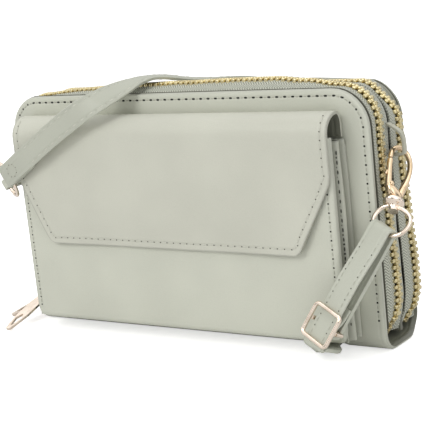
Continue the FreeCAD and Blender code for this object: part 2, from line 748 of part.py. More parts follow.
def make_left_ring():
    aim, across = left_ring_frame()
    ring = wire_ring(ring_half_width, ring_half_height, ring_shoulder, ring_corner, ring_wire_radius)
    centre = left_bar + aim * ring_half_height
    save("left_strap_ring", placed(ring, centre, across, aim))
    # leather loop from the divider edge round the far side of the ring
    wire_at = left_bar + aim * (2 * ring_half_height)
    back = left_tab_root - wire_at
    back = back - across * back.dot(across)
    length = back.Length
    run = V(back).normalize()
    side = across.cross(run)
    radius = ring_wire_radius + strap_loop_gap + tab_thickness / 2
    thin = left_tab_half
    path = [(length, thin), (2 * radius, thin)]
    path.extend(arc_points((0, 0), radius, left_tab_open_angle, 360 - left_tab_open_angle, 2 * arc_steps))
    path.extend([(2 * radius, -thin), (length, -thin)])
    strip = strip_face(path, tab_thickness, (run, side))
    strip.translate(wire_at - across * (left_tab_width / 2))
    tab = strip.extrude(across * left_tab_width)
    # the sewn ends, turned in against the divider edge
    skin = half_width - tape_inset + fit_gap
    root = left_tab_root
    outer = root.x - thin - tab_thickness / 2
    half = left_tab_width / 2
    seam = box(outer, -skin, root.y - tab_thickness, root.y + left_tab_seam, root.z - half, root.z + half)
    tab = tab.fuse(seam).removeSplitter()
    save("left_ring_tab", tab)
    print("left ring wire at tab", wire_at)


def ring_bar_frame():
    # middle and direction of the straight lower side of the swivel ring
    z = V(0, 0, 0) - clasp_aim
    z = V(z).normalize()
    x = V(1, 0, 0) - z * z.x
    x = V(x).normalize()
    turn = math.radians(ring_turn)
    along = x * math.cos(turn) - z * math.sin(turn)
    down = V(0, 0, 0) - x * math.sin(turn) - z * math.cos(turn)
    middle = clasp_top - z * ring_centre_drop + down * ring_half_height
    return middle, along


def strap_frame():
    # straight doubled run between the swivel ring and the buckle
    ring_bar, along = ring_bar_frame()
    run = V(ring_bar - buckle_centre).normalize()
    print("strap runs off square to the ring bar by", round(90 - math.degrees(run.getAngle(along)), 2))
    across = along - run * along.dot(run)
    across = V(across).normalize()
    out = run.cross(across)
    if out.y > 0:
        out = V(0, 0, 0) - out
    return ring_bar, run, across, out


def make_strap_right():
    ring_bar, run, across, out = strap_frame()
    length = (ring_bar - buckle_centre).Length
    t = strap_thickness
    loop = ring_wire_radius + strap_loop_gap + t / 2
    bar_loop = buckle_bar_radius + strap_loop_gap + t / 2
    lift = bar_loop + t + buckle_gap
    bl = buckle_half_length
    print("doubled run length", round(length, 1), "loop radius", round(loop, 2), round(bar_loop, 2))
    # seen edge-on: s up the run from the buckle bar, n out to the front
    path = [(-bl - t, lift), (bl + t, lift), (length / 2, loop), (length, loop)]
    path.extend(arc_points((length, 0), loop, 90, -90, arc_steps)[1:])
    path.append((length / 2, -bar_loop))
    path.append((0, -bar_loop))
    path.extend(arc_points((0, 0), bar_loop, 270, 90, arc_steps)[1:])
    tail_rest = -bar_loop + t + buckle_gap
    path.append((bar_loop, bar_loop - buckle_gap))
    path.append((fold_tail, tail_rest))
    strip = strip_face(path, t, (run, out))
    strip.translate(buckle_centre - across * (strap_width / 2))
    save("strap_adjusting_loop", strip.extrude(across * strap_width))
    # buckle: wire frame in front of the strap, middle bar behind it
    r = buckle_bar_radius
    w = buckle_inner_half + r
    n = lift + t / 2 + r + buckle_gap
    frame = wire_ring(w, bl, 2 * r, 2 * r, r)
    frame = placed(frame, buckle_centre + out * n, across, run)
    save("buckle_frame", frame)
    ends = []
    for sign in (-1, 1):
        start = buckle_centre + across * (sign * w)
        ends.append(Part.makeCylinder(r, n - 2 * r - fit_gap, start, out))
    bar = Part.makeCylinder(r, 2 * w, buckle_centre - across * w, across)
    bar = bar.fuse(ends)
    for sign in (-1, 1):
        bar = bar.fuse(Part.makeSphere(r, buckle_centre + across * (sign * w)))
    bar = bar.removeSplitter()
    save("buckle_middle_bar", bar.cut(frame))
    # single strap from the buckle to the floor and back under the pouch
    start = buckle_centre + out * lift - run * (bl + t)
    down = V(0, 0, 0) - run
    flat = V(0, 1, 0)
    side = V(1, 0, 0)
    stations = [(start, down, across), (start + down * (2 * t), down, across)]
    low = V(under_x, -pocket_front, under_height)
    turn_a = V(start.x - 2 * t, start.y + t, 2 * under_height + t)
    stations.append((turn_a, strap_floor_turn[0], across + side))
    turn_b = V(under_x + 2 * t, start.y + 3 * t, under_height)
    stations.append((turn_b, strap_floor_turn[1], side))
    stations.append((low, flat, side))
    stations.append((V(under_x, body_half_depth - wrap_round, under_height), flat, side))
    save("strap_under_run", band(stations, strap_width, t))
    return stations[-1][0]


def hank_path():
    # seen edge-on: s down the tilted run, y to the back; folded to and fro
    tilt = math.radians(hank_tilt)
    length = (hank_top - hank_low) / math.cos(tilt)
    path = []
    r = hank_spacing / 2
    for i in range(hank_runs):
        y = hank_first - i * hank_spacing
        if i % 2 == 0:
            path.append((0, y))
            path.append((length, y))
            if i < hank_runs - 1:
                path.extend(arc_points((length, y - r), r, 90, -90, arc_steps)[1:-1])
        else:
            path.append((length, y))
            path.append((0, y))
            path.extend(arc_points((0, y - r), r, 90, 270, arc_steps)[1:-1])
    return path, length


def make_strap_hank():
    tilt = math.radians(hank_tilt)
    down = V(math.sin(tilt), 0, -math.cos(tilt))
    across = V(math.cos(tilt), 0, math.sin(tilt))
    path, length = hank_path()
    gap = hank_spacing - strap_thickness
    total = 0.0
    for a, b in zip(path, path[1:]):
        total = total + math.hypot(b[0] - a[0], b[1] - a[1])
    print("hank length", round(total, 1), "least gap", round(gap, 2), "limit", hank_gap_limit)
    low = V(hank_low_x, 0, hank_low)
    top = low - down * length
    strip = strip_face(path, strap_thickness, (down, V(0, 1, 0)))
    strip.translate(top - across * (strap_width / 2))
    save("strap_hank", strip.extrude(across * strap_width))
    # tie round the folded runs
    last = hank_first - (hank_runs - 1) * hank_spacing
    y0 = last - strap_thickness / 2 - tie_gap
    y1 = hank_first + strap_thickness / 2 + tie_gap
    half = strap_width / 2 + tie_gap
    outer = box(-half - tie_wall, half + tie_wall, y0 - tie_wall, y1 + tie_wall, 0, tie_width)
    tie = outer.cut(box(-half, half, y0, y1, 0, tie_width))
    spot = top + down * tie_drop
    save("strap_tie", placed(tie, spot, across, V(0, 0, 0) - down))
    # from the innermost run round the bottom edge
    flat = V(0, -1, 0)
    side = V(1, 0, 0)
    inner = low + V(0, last, 0)
    stations = [(inner, down, across)]
    t = strap_thickness
    edge = body_half_depth
    stations.append((V(under_x - t / 2, edge + t, 2 * t), strap_heel_turn[0], across + side))
    stations.append((V(under_x, edge - t, under_height + t / 4), strap_heel_turn[1], side))
    stations.append((V(under_x, edge - 3 * t, under_height), flat, side))
    stations.append((V(under_x, body_half_depth - wrap_round, under_height), flat, side))
    save("strap_lower_turn", band(stations, strap_width, strap_thickness))
    return top + V(0, hank_first, 0), down, across


def make_strap_left():
    top, down, across = make_strap_hank()
    t = strap_thickness
    # folded end round the ring bar, sewn back on itself
    bar = left_bar
    first = left_strap_bend
    run = V(first - bar).normalize()
    side = left_ring_frame()[1]
    out = run.cross(side)
    if out.y > 0:
        out = V(0, 0, 0) - out
    loop = ring_wire_radius + strap_loop_gap + t / 2
    length = (first - bar).Length
    path = [(length, loop), (0, loop)]
    path.extend(arc_points((0, 0), loop, 90, 270, arc_steps)[1:])
    path.append((loop, -loop))
    path.append((3 * loop, loop - t - buckle_gap))
    path.append((length, loop - t - buckle_gap))
    strip = strip_face(path, t, (run, out))
    strip.translate(bar - side * (strap_width / 2))
    save("strap_left_end", strip.extrude(side * strap_width))
    start = first + out * loop
    print("left end run", run, "side", side, "start", start)
    # over the flap corner, over the top and down to the hank
    stations = [(start, run, side)]
    for place, way, over in zip(strap_over_places, strap_over_runs, strap_over_sides):
        stations.append((place, way, over))
    stations.append((top, down, across))
    save("strap_left_run", band(stations, strap_width, t))


os.makedirs("parts", exist_ok=True)
make_covers()
bottom_wrap = make_bottom_wrap()
make_inside()
make_zips(bottom_wrap)
make_sliders()
make_right_tab()
make_pocket()
make_flap()
make_clasp()
make_left_ring()
make_strap_right()
make_strap_left()
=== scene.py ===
import bmesh
import bpy
from math import copysign, cos, hypot, pi, radians, sin, sqrt
from mathutils import Matrix, Vector


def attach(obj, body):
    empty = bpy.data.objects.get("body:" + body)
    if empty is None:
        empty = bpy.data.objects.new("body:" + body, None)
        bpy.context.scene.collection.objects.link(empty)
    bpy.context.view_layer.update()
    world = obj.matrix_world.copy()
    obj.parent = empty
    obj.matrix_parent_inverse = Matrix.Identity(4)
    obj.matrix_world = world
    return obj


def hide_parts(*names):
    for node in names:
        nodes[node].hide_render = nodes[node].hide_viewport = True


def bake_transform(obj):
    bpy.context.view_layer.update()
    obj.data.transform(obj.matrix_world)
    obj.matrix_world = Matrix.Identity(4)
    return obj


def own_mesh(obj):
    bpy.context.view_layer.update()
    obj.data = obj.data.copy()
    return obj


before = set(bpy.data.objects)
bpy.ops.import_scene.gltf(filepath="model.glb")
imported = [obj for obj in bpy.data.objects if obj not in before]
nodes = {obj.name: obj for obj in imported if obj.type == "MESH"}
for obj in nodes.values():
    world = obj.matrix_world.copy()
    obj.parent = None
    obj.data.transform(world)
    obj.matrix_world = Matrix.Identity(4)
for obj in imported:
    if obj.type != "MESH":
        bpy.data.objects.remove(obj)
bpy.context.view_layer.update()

mm = 0.001
xAxis, yAxis, zAxis = Vector((1, 0, 0)), Vector((0, 1, 0)), Vector((0, 0, 1))


def pt(x, y, z):
    return Vector((x, y, z)) * mm


def unit(x, y, z):
    return Vector((x, y, z)).normalized()


def smoothStep(a, b, x):
    t = min(1.0, max(0.0, (x - a) / (b - a)))
    return t * t * (3 - 2 * t)


def fromTable(table, x):
    for (x0, y0), (x1, y1) in zip(table, table[1:]):
        if x <= x1:
            return y0 + (y1 - y0) * smoothStep(x0, x1, x)
    return table[-1][1]


def fullTurn(count):
    return [2 * pi * k / count for k in range(count)]


def signedPower(value, power):
    return copysign(abs(value) ** power, value)


# node helpers


def feed(tree, node, values):
    # each input takes a link from a socket or a plain value
    for key, value in values.items():
        if isinstance(value, bpy.types.NodeSocket):
            tree.links.new(value, node.inputs[key])
        else:
            node.inputs[key].default_value = value


def addNode(tree, kind, inputs={}, **settings):
    node = tree.nodes.new("ShaderNode" + kind)
    for key, value in settings.items():
        setattr(node, key, value)
    feed(tree, node, inputs)
    return node


def newMaterial(name):
    mat = bpy.data.materials.new(name)
    mat.use_nodes = True
    tree = mat.node_tree
    tree.nodes.clear()
    shader = addNode(tree, "BsdfPrincipled")
    addNode(tree, "OutputMaterial", {0: shader.outputs[0]})
    return mat, tree, shader


def objectPlace(tree):
    return addNode(tree, "TexCoord").outputs["Object"]


def mathNode(tree, operation, a, b=0.0):
    return addNode(tree, "Math", {0: a, 1: b}, operation=operation).outputs[0]


def mixColour(tree, factor, a, b, blend="MIX"):
    return addNode(tree, "Mix", {0: factor, 6: a, 7: b}, data_type="RGBA", blend_type=blend).outputs[2]


def noiseNode(tree, vector, scale, detail=3.0, rough=0.5):
    inputs = {"Scale": scale, "Detail": detail, "Roughness": rough, "Vector": vector}
    return addNode(tree, "TexNoise", inputs).outputs["Fac"]


def rampNode(tree, value, low, high, a=0.0, b=1.0):
    inputs = {0: value, 1: low, 2: high, 3: a, 4: b}
    return addNode(tree, "MapRange", inputs, interpolation_type="SMOOTHSTEP").outputs[0]


def bumpNode(tree, height, strength, distance, **normal):
    inputs = {"Strength": strength, "Distance": distance, "Height": height, **normal}
    return addNode(tree, "Bump", inputs).outputs[0]


def weighted(tree, a, aShare, b, bShare):
    return mathNode(tree, "ADD", mathNode(tree, "MULTIPLY", a, aShare), mathNode(tree, "MULTIPLY", b, bShare))


# leather: shared surface group, colour, roughness and normal out
leatherSizes = {"driftScale": 26.0, "warpScale": 900.0, "warpReach": 0.0006, "grainScale": 1500.0,
                "grainSoft": 0.6, "poreScale": 2600.0, "waveScale": 70.0, "sewnIn": 3.0, "sheenRough": 0.45,
                "specular": 0.42}


def leatherGroup():
    s = leatherSizes
    tree = bpy.data.node_groups.new("leatherSurface", "ShaderNodeTree")
    for name, way, kind in (("Tint", "INPUT", "Color"), ("Grain", "INPUT", "Float"), ("Color", "OUTPUT", "Color"),
                            ("Roughness", "OUTPUT", "Float"), ("Normal", "OUTPUT", "Vector")):
        tree.interface.new_socket(name, in_out=way, socket_type="NodeSocket" + kind)
    given = tree.nodes.new("NodeGroupInput").outputs
    place = objectPlace(tree)
    edge = addNode(tree, "Attribute", attribute_name="edgeMm").outputs["Fac"]
    broad = noiseNode(tree, place, s["driftScale"], 2.0)
    warp = noiseNode(tree, place, s["warpScale"], 2.0)
    warpInputs = {0: warp, 1: (s["warpReach"],) * 3, 2: place}
    shift = addNode(tree, "VectorMath", warpInputs, operation="MULTIPLY_ADD").outputs[0]
    cellInputs = {"Scale": s["grainScale"], "Smoothness": s["grainSoft"], "Vector": shift}
    cells = addNode(tree, "TexVoronoi", cellInputs, feature="SMOOTH_F1").outputs["Distance"]
    pores = noiseNode(tree, place, s["poreScale"], 4.0, 0.6)
    wave = noiseNode(tree, place, s["waveScale"], 2.0)
    # colour: broad drift, pores a touch darker, edges darker
    drift = rampNode(tree, broad, 0.25, 0.75, 0.955, 1.035)
    poreTone = rampNode(tree, pores, 0.30, 0.62, 0.965, 1.012)
    rim = rampNode(tree, edge, 0.1, 0.9, 0.76, 1.0)
    tone = mathNode(tree, "MULTIPLY", mathNode(tree, "MULTIPLY", drift, poreTone), rim)
    grey = addNode(tree, "CombineColor", {0: tone, 1: tone, 2: tone}).outputs[0]
    colour = mixColour(tree, 1.0, given["Tint"], grey, "MULTIPLY")
    # roughness: worn edges shine a little more
    poreRough = rampNode(tree, pores, 0.3, 0.7, 0.44, 0.52)
    rough = mathNode(tree, "ADD", poreRough, rampNode(tree, broad, 0.3, 0.7, -0.03, 0.03))
    rough = mathNode(tree, "SUBTRACT", rough, rampNode(tree, edge, 0.2, 2.0, 0.07, 0.0))
    # bump: sewn groove, soft waviness, fine grain
    grooveOff = mathNode(tree, "ABSOLUTE", mathNode(tree, "SUBTRACT", edge, s["sewnIn"]))
    normal = bumpNode(tree, rampNode(tree, grooveOff, 0.1, 1.1), 0.35, 0.0004)
    normal = bumpNode(tree, wave, 0.16, 0.002, Normal=normal)
    grain = mathNode(tree, "MULTIPLY", mathNode(tree, "ADD", cells, pores), given["Grain"])
    normal = bumpNode(tree, grain, 0.5, 0.00012, Normal=normal)
    feed(tree, tree.nodes.new("NodeGroupOutput"), {"Color": colour, "Roughness": rough, "Normal": normal})
    return tree


leatherSurface = leatherGroup()


def leatherMaterial(name, tint, grain, sheen=0.04):
    mat, tree, shader = newMaterial(name)
    group = addNode(tree, "Group", node_tree=leatherSurface)
    feed(tree, group, {"Tint": (*tint, 1), "Grain": grain})
    for given, taken in (("Color", "Base Color"), ("Roughness", "Roughness"), ("Normal", "Normal")):
        tree.links.new(group.outputs[given], shader.inputs[taken])
    feed(tree, shader, {"Sheen Weight": sheen, "Sheen Roughness": leatherSizes["sheenRough"],
                        "Specular IOR Level": leatherSizes["specular"]})
    return mat


coverLeather = leatherMaterial("coverLeather", (0.575, 0.585, 0.496), 0.55)
# painted shade: a darker copy of the cover leather for the pocket's pleated sides, standing in for the shade in their
# folds
shadedGussetLeather = leatherMaterial("shadedGussetLeather", (0.45, 0.458, 0.386), 0.50)
flapLeather = leatherMaterial("flapLeather", (0.556, 0.558, 0.476), 0.50)
strapLeather = leatherMaterial("strapLeather", (0.505, 0.518, 0.436), 0.60)
# painted shade: a darker copy of the strap leather for the strap's left end and its run over the top, standing in for
# shade there
shadedTopStrapLeather = leatherMaterial("shadedTopStrapLeather", (0.455, 0.467, 0.392), 0.60)
tabLeather = leatherMaterial("tabLeather", (0.470, 0.465, 0.375), 0.70, 0.03)
# painted shade: a dark leather for the faces inside the pouch and under the flap and for the divider between the zips
shadedInnerLeather = leatherMaterial("shadedInnerLeather", (0.20, 0.205, 0.16), 0.70, 0.02)


# zip tape: herringbone from the tape's own coordinates; rib and thread are widths in mm
tapeLook = {"rib": 1.7, "thread": 1.3, "fuzz": 1800.0, "rough": 0.82, "sheen": 0.15,
            "low": (0.175, 0.184, 0.144, 1), "high": (0.565, 0.578, 0.487, 1)}


def tapeMaterial():
    s = tapeLook
    mat, tree, shader = newMaterial("zipTape")
    uv = addNode(tree, "UVMap", uv_map="tapeMm").outputs[0]
    along, across = addNode(tree, "SeparateXYZ", {0: uv}).outputs[:2]
    slant = mathNode(tree, "ADD", along, mathNode(tree, "PINGPONG", across, s["rib"]))
    wave = mathNode(tree, "SINE", mathNode(tree, "MULTIPLY", slant, 2 * pi / s["thread"]))
    fuzz = noiseNode(tree, objectPlace(tree), s["fuzz"])
    weight = weighted(tree, rampNode(tree, wave, -0.9, 0.7), 0.8, fuzz, 0.4)
    feed(tree, shader, {"Base Color": mixColour(tree, weight, s["low"], s["high"]), "Roughness": s["rough"],
                        "Sheen Weight": s["sheen"], "Normal": bumpNode(tree, weight, 0.7, 0.0003)})
    return mat


zipTape = tapeMaterial()


# metal: plating with fine handling marks


def metalMaterial(name, tint, dull, rough, markScale):
    mat, tree, shader = newMaterial(name)
    place = objectPlace(tree)
    cloud = rampNode(tree, noiseNode(tree, place, 160.0), 0.35, 0.72)
    marks = noiseNode(tree, place, markScale, 5.0, 0.65)
    feed(tree, shader, {"Base Color": mixColour(tree, cloud, (*tint, 1), (*dull, 1)), "Metallic": 1.0,
                        "Roughness": rampNode(tree, marks, 0.35, 0.75, rough * 0.75, rough * 1.5),
                        "Normal": bumpNode(tree, marks, 0.04, 0.0001)})
    return mat


champagne = metalMaterial("champagnePlate", (0.85, 0.735, 0.625), (0.71, 0.60, 0.495), 0.16, 700.0)
claspPlate = metalMaterial("claspPlate", (0.74, 0.58, 0.40), (0.55, 0.41, 0.26), 0.17, 700.0)
toothBrass = metalMaterial("toothBrass", (0.70, 0.61, 0.36), (0.54, 0.46, 0.26), 0.30, 1400.0)
magnetSteel = metalMaterial("magnetSteel", (0.30, 0.30, 0.31), (0.22, 0.22, 0.23), 0.4, 900.0)


# thread, needle holes painted dark as shade, seam shade, lining and band


def clothMaterial(name, light, dark, pitch, rough):
    mat, tree, shader = newMaterial(name)
    place = objectPlace(tree)
    x, y, z = addNode(tree, "SeparateXYZ", {0: place}).outputs
    turns = 2 * pi / (pitch * mm)
    warp = mathNode(tree, "SINE", mathNode(tree, "MULTIPLY", mathNode(tree, "ADD", x, y), turns))
    weft = mathNode(tree, "SINE", mathNode(tree, "MULTIPLY", z, turns))
    weave = rampNode(tree, mathNode(tree, "MULTIPLY", warp, weft), -0.8, 0.8)
    level = weighted(tree, weave, 0.7, noiseNode(tree, place, 2200.0), 0.4)
    feed(tree, shader, {"Base Color": mixColour(tree, level, (*dark, 1), (*light, 1)), "Roughness": rough,
                        "Normal": bumpNode(tree, level, 0.5, 0.0002)})
    return mat


liningCloth = clothMaterial("liningCloth", (0.36, 0.37, 0.31), (0.20, 0.21, 0.17), 0.9, 0.85)
stitchThread = clothMaterial("stitchThread", (0.060, 0.062, 0.048), (0.03, 0.031, 0.024), 0.35, 0.7)
paleThread = clothMaterial("paleThread", (0.50, 0.505, 0.42), (0.36, 0.365, 0.30), 0.35, 0.7)
flapThread = clothMaterial("flapThread", (0.66, 0.66, 0.58), (0.48, 0.485, 0.41), 0.35, 0.6)
# the next three are painted shade: dark disks in the needle holes and a dark line along the seams
softHoleShade = clothMaterial("softHoleShade", (0.13, 0.13, 0.10), (0.09, 0.09, 0.07), 0.6, 0.9)
seamShade = clothMaterial("seamShade", (0.10, 0.10, 0.075), (0.07, 0.07, 0.05), 0.5, 0.9)
needleHoleShade = clothMaterial("needleHoleShade", (0.030, 0.031, 0.024), (0.015, 0.015, 0.012), 0.6, 0.9)
tieBand = clothMaterial("tieBand", (0.62, 0.62, 0.56), (0.48, 0.48, 0.43), 0.8, 0.75)
print("materials", len(bpy.data.materials))


# mesh helpers
sharpAngle = {"sheet": 35.0, "cast": 50.0}
farFromRim = 10.0  # mm, for sheets without a worn rim


def toObject(name, bm, materials, slot="", body="", replaced=(), kind="sheet"):
    # slot: not used; body and replaced solids of a finished piece; a blended piece has no one body
    bmesh.ops.recalc_face_normals(bm, faces=bm.faces[:])
    mesh = bpy.data.meshes.new(name)
    bm.to_mesh(mesh)
    bm.free()
    for material in materials:
        mesh.materials.append(material)
    mesh.shade_smooth()
    mesh.set_sharp_from_angle(angle=radians(sharpAngle[kind]))
    obj = bpy.data.objects.new(name, mesh)
    bpy.context.scene.collection.objects.link(obj)
    if replaced:
        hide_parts(*replaced)
    if body:
        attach(obj, body)
    return obj


def gridSheet(bm, rows):
    # rows of (point, distance to the sheet's rim in mm) make one sheet of quads
    layer = bm.verts.layers.float.new("edgeMm")
    table = []
    for row in rows:
        line = []
        for p, rim in row:
            line.append(bm.verts.new(p))
            line[-1][layer] = rim
        table.append(line)
    faces = []
    for a, b in zip(table, table[1:]):
        for i in range(len(a) - 1):
            faces.append(bm.faces.new((a[i], a[i + 1], b[i + 1], b[i])))
    return faces


def roundEdges(bm, edges, offset, segments):
    bmesh.ops.bevel(bm, geom=edges, offset=offset * mm, offset_type="OFFSET", segments=segments, profile=0.5,
                    affect="EDGES", clamp_overlap=True, material=-1)


def roundRim(bm, offset, segments=3):
    bm.normal_update()
    rim = [e for e in bm.edges if len(e.link_faces) == 2 and e.calc_face_angle() > 1.0]
    roundEdges(bm, rim, offset, segments)


def thicken(bm, faces, thickness):
    bmesh.ops.recalc_face_normals(bm, faces=faces)
    bmesh.ops.solidify(bm, geom=faces, thickness=thickness * mm)


def paintInsideShade(bm, centre, below=200.0):
    # faces that look towards the middle of the piece take the second material, a dark leather: painted shade inside
    bm.normal_update()
    for f in bm.faces:
        way = f.calc_center_median() - centre
        inward = f.normal.y * way.y + f.normal.z * way.z < -0.3 * hypot(way.y, way.z)
        if inward and f.calc_center_median().z < below * mm:
            f.material_index = 1


def sheetPiece(name, rows, materials, thickness, rimRound, *place, segments=3, inside=()):
    bm = bmesh.new()
    thicken(bm, gridSheet(bm, rows), thickness)
    roundRim(bm, rimRound, segments)
    if inside:
        paintInsideShade(bm, *inside)
    return toObject(name, bm, materials, *place)


def loft(bm, rings, caps=True):
    lines = [[bm.verts.new(p) for p in ring] for ring in rings]
    n = len(lines[0])
    for a, b in zip(lines, lines[1:]):
        for i in range(n):
            j = (i + 1) % n
            bm.faces.new((a[i], a[j], b[j], b[i]))
    if caps:
        bm.faces.new(lines[0][::-1])
        bm.faces.new(lines[-1])
    return lines


def sweepTube(bm, points, sizes, across, segments=14, closed=False):
    # sizes: radius in the plane of the path and radius across it, at each point
    rings = []
    n = len(points)
    for i, (p, (flat, wide)) in enumerate(zip(points, sizes)):
        a, b = (i - 1, (i + 1) % n) if closed else (max(i - 1, 0), min(i + 1, n - 1))
        run = (points[b] - points[a]).normalized()
        side = (across - run * across.dot(run)).normalized()
        face = run.cross(side)
        rings.append([p + face * cos(u) * flat * mm + side * sin(u) * wide * mm
                      for u in fullTurn(segments)])
    loft(bm, rings + rings[:1] if closed else rings, not closed)
    if closed:
        bmesh.ops.remove_doubles(bm, verts=bm.verts[:], dist=1e-7)


def splinePoints(points, steps):
    # points read off the route's own smooth curve
    data = bpy.data.curves.new("route", "CURVE")
    data.dimensions = "3D"
    spline = data.splines.new("NURBS")
    spline.points.add(len(points) - 1)
    for p, q in zip(spline.points, points):
        p.co = (*q, 1)
    spline.order_u = 3
    spline.use_endpoint_u = True
    spline.resolution_u = steps
    holder = bpy.data.objects.new("route", data)
    mesh = bpy.data.meshes.new_from_object(holder)
    found = [v.co.copy() for v in mesh.vertices]
    bpy.data.objects.remove(holder)
    bpy.data.meshes.remove(mesh)
    bpy.data.curves.remove(data)
    return found


def routeLength(points):
    return sum((b - a).length for a, b in zip(points, points[1:]))


def evenPlaces(points, pitch, margin):
    # places about every pitch along a line, with the direction there
    free = routeLength(points) - 2 * margin
    count = max(1, int(free / pitch))
    wanted = [margin + free / count * (k + 0.5) for k in range(count)]
    places = []
    done = 0.0
    for a, b in zip(points, points[1:]):
        span = (b - a).length
        while len(places) < count and wanted[len(places)] <= done + span:
            share = (wanted[len(places)] - done) / max(span, 1e-9)
            places.append((a.lerp(b, share), (b - a).normalized()))
        done += span
    return places


def stitchRow(bm, points, normalAt, s, margin=1.0, holeIndex=1):
    # thread dashes with a flat dark disk between each two, painted shade of the needle hole
    size = Matrix.Diagonal((s["length"] * mm / 2, s["width"] * mm / 2, s["rise"] * mm, 1))
    stretch = Matrix.Diagonal((s.get("slot", 1.0), 1, 1, 1))
    for place, along in evenPlaces(points, s["pitch"] * mm, margin * mm):
        normal = normalAt(place).normalized()
        turn = Matrix((along, normal.cross(along).normalized(), normal)).transposed().to_4x4()
        bmesh.ops.create_uvsphere(bm, u_segments=8, v_segments=5, radius=1.0,
                                  matrix=Matrix.Translation(place) @ turn @ size)
        spot = place + along * (s["pitch"] * mm / 2) + normal * (0.05 * mm)
        hole = bmesh.ops.create_circle(bm, cap_ends=True, segments=8, radius=s["hole"] * mm,
                                       matrix=Matrix.Translation(spot) @ turn @ stretch)
        for v in hole["verts"]:
            for f in v.link_faces:
                f.material_index = holeIndex


def spread(edges, inner, count):
    # shares of a half width from -1 to 1, close together near both edges
    even = [-inner + 2 * inner * i / (count - 1) for i in range(count)]
    return [-e for e in edges] + even + list(reversed(edges))


# cover: one leather sheet from the front panel round the bottom to the back panel
coverSizes = {"half": 100.0, "high": 116.0, "corner": 17.0, "depth": 20.0, "bend": 9.0, "thick": 2.4, "roll": 1.2,
              "trim": 4.0, "strapX": 68, "strapLift": 2.5, "rimRound": 0.5, "insideBelow": 24.0, "stitchIn": 3.0,
              "stitchLow": 15.0, "slotsFrom": 111.5, "seamIn": 0.25, "seamLow": 11.0}
coverStitch = {"pitch": 4.0, "length": 2.0, "width": 0.6, "rise": 0.16, "hole": 0.50}
coverTopStitch = {"pitch": 4.0, "length": 1.7, "width": 0.6, "rise": 0.22, "hole": 0.46, "slot": 2.0}


def archColumns(half, high, corner, straight, turns=8):
    # each column: x and the height of the outline there
    columns = []
    for a in [radians(90 - 90 * i / turns) for i in range(turns + 1)]:
        columns.append((-(half - corner + corner * sin(a)), high - corner + corner * cos(a)))
    right = [(-x, top) for x, top in reversed(columns)]
    return columns + [(2 * (half - corner) * (i / straight - 0.5), high) for i in range(1, straight)] + right


def insetArch(inset):
    # half width, height and corner of the cover's outline, a little further in
    return [coverSizes[key] - inset for key in ("half", "high", "corner")]


def archInset(x, z, half, high, corner):
    # distance in mm from a point of the panel to its left, top or right edge
    ax = abs(x)
    if ax > half - corner and z > high - corner:
        return corner - hypot(ax - half + corner, z - high + corner)
    return min(half - ax, high - z)


def rolled(d, r):
    return 0.0 if d >= r else r - sqrt(max(0.0, r * r - (r - max(d, 0.0)) ** 2))


def backShift(p):
    # the back panel is narrower on the right and sits a little lower than the bowed front; places in metres
    back = smoothStep(0.002, 0.018, p.y)
    x = p.x - coverSizes["trim"] * mm * back * smoothStep(0.072, 0.1, p.x)
    drop = 1.9 * smoothStep(0.03, -0.03, p.x) + 1.4 * smoothStep(0.05, 0.085, p.x)
    return Vector((x, p.y, p.z - drop * mm * back * smoothStep(0.088, 0.112, p.z)))


def makeCover():
    s = coverSizes
    columns = archColumns(s["half"], s["high"], s["corner"], 66)
    drops = [0, 0.6, 1.4, 2.4, 3.6, 5.5, 8.5, 13] + [13 + 94 * (i / 14) for i in range(1, 15)]
    low, deep = s["bend"], s["depth"] - s["bend"]

    def panelRow(sign, d):
        row = []
        for x, top in columns:
            z = top - d * (top - low) / (s["high"] - low)
            inset = archInset(x, z, s["half"], s["high"], s["corner"])
            wave = 0.25 * sin(x * 0.11 + sign) * sin(z * 0.09 + 1.3)
            y = s["depth"] - rolled(inset, s["roll"]) + wave * smoothStep(4, 14, inset)
            row.append((backShift(pt(x, sign * y, z)), inset))
        return row

    def bottomRow(sign, y, degrees):
        # the soft bottom is pressed up by the strap under it
        a = radians(degrees)
        row = []
        for x, top in columns:
            inset = s["half"] - abs(x)
            reach = low - rolled(inset, s["roll"])
            lift = s["strapLift"] * (1 - smoothStep(7.2, 10.2, abs(x - s["strapX"])))
            z = max(low - reach * sin(a), lift)
            row.append((backShift(pt(x, sign * (y + reach * cos(a)), z)), inset))
        return row

    rows = [panelRow(-1, d) for d in drops]
    rows += [bottomRow(-1, deep, 90 * i / 8) for i in range(1, 9)]
    rows += [bottomRow(1, deep * (-1 + 2 * i / 6), 90) for i in range(1, 6)]
    rows += [bottomRow(1, deep, 90 * i / 8) for i in range(8, 0, -1)]
    rows += [panelRow(1, d) for d in reversed(drops)]
    # the inside faces low down take the dark leather, painted shade inside the pouch
    return sheetPiece("coverSheet", rows, [coverLeather, shadedInnerLeather], s["thick"], s["rimRound"],
                      "cover_leather", "pouch", ["front_cover", "back_cover", "bottom_wrap"],
                      inside=(pt(0, 0, 55), s["insideBelow"]))


cover = makeCover()


def archLine(half, high, corner, low, y):
    line = [(-half, low), *archColumns(half, high, corner, 1, 12), (half, low)]
    return [pt(x, y, z) for x, z in line]


def makeCoverStitches():
    # sides: round holes painted dark as shade, with thread like the leather; top: longer slots painted dark as shade
    s = coverSizes
    bm = bmesh.new()
    for sign in (-1, 1):
        line = archLine(*insetArch(s["stitchIn"]), s["stitchLow"], sign * (s["depth"] + 0.02))
        high = [i for i, p in enumerate(line) if p.z > s["slotsFrom"] * mm]
        line = [backShift(p) for p in line]
        parts = ((line[:high[0] + 1], coverStitch), (line[high[0]:high[-1] + 1], coverTopStitch),
                 (line[high[-1]:], coverStitch))
        for part, sizes in parts:
            stitchRow(bm, part, lambda p: yAxis * sign, sizes, margin=0.0)
    toObject("coverStitching", bm, [paleThread, needleHoleShade], "cover_leather", "pouch")


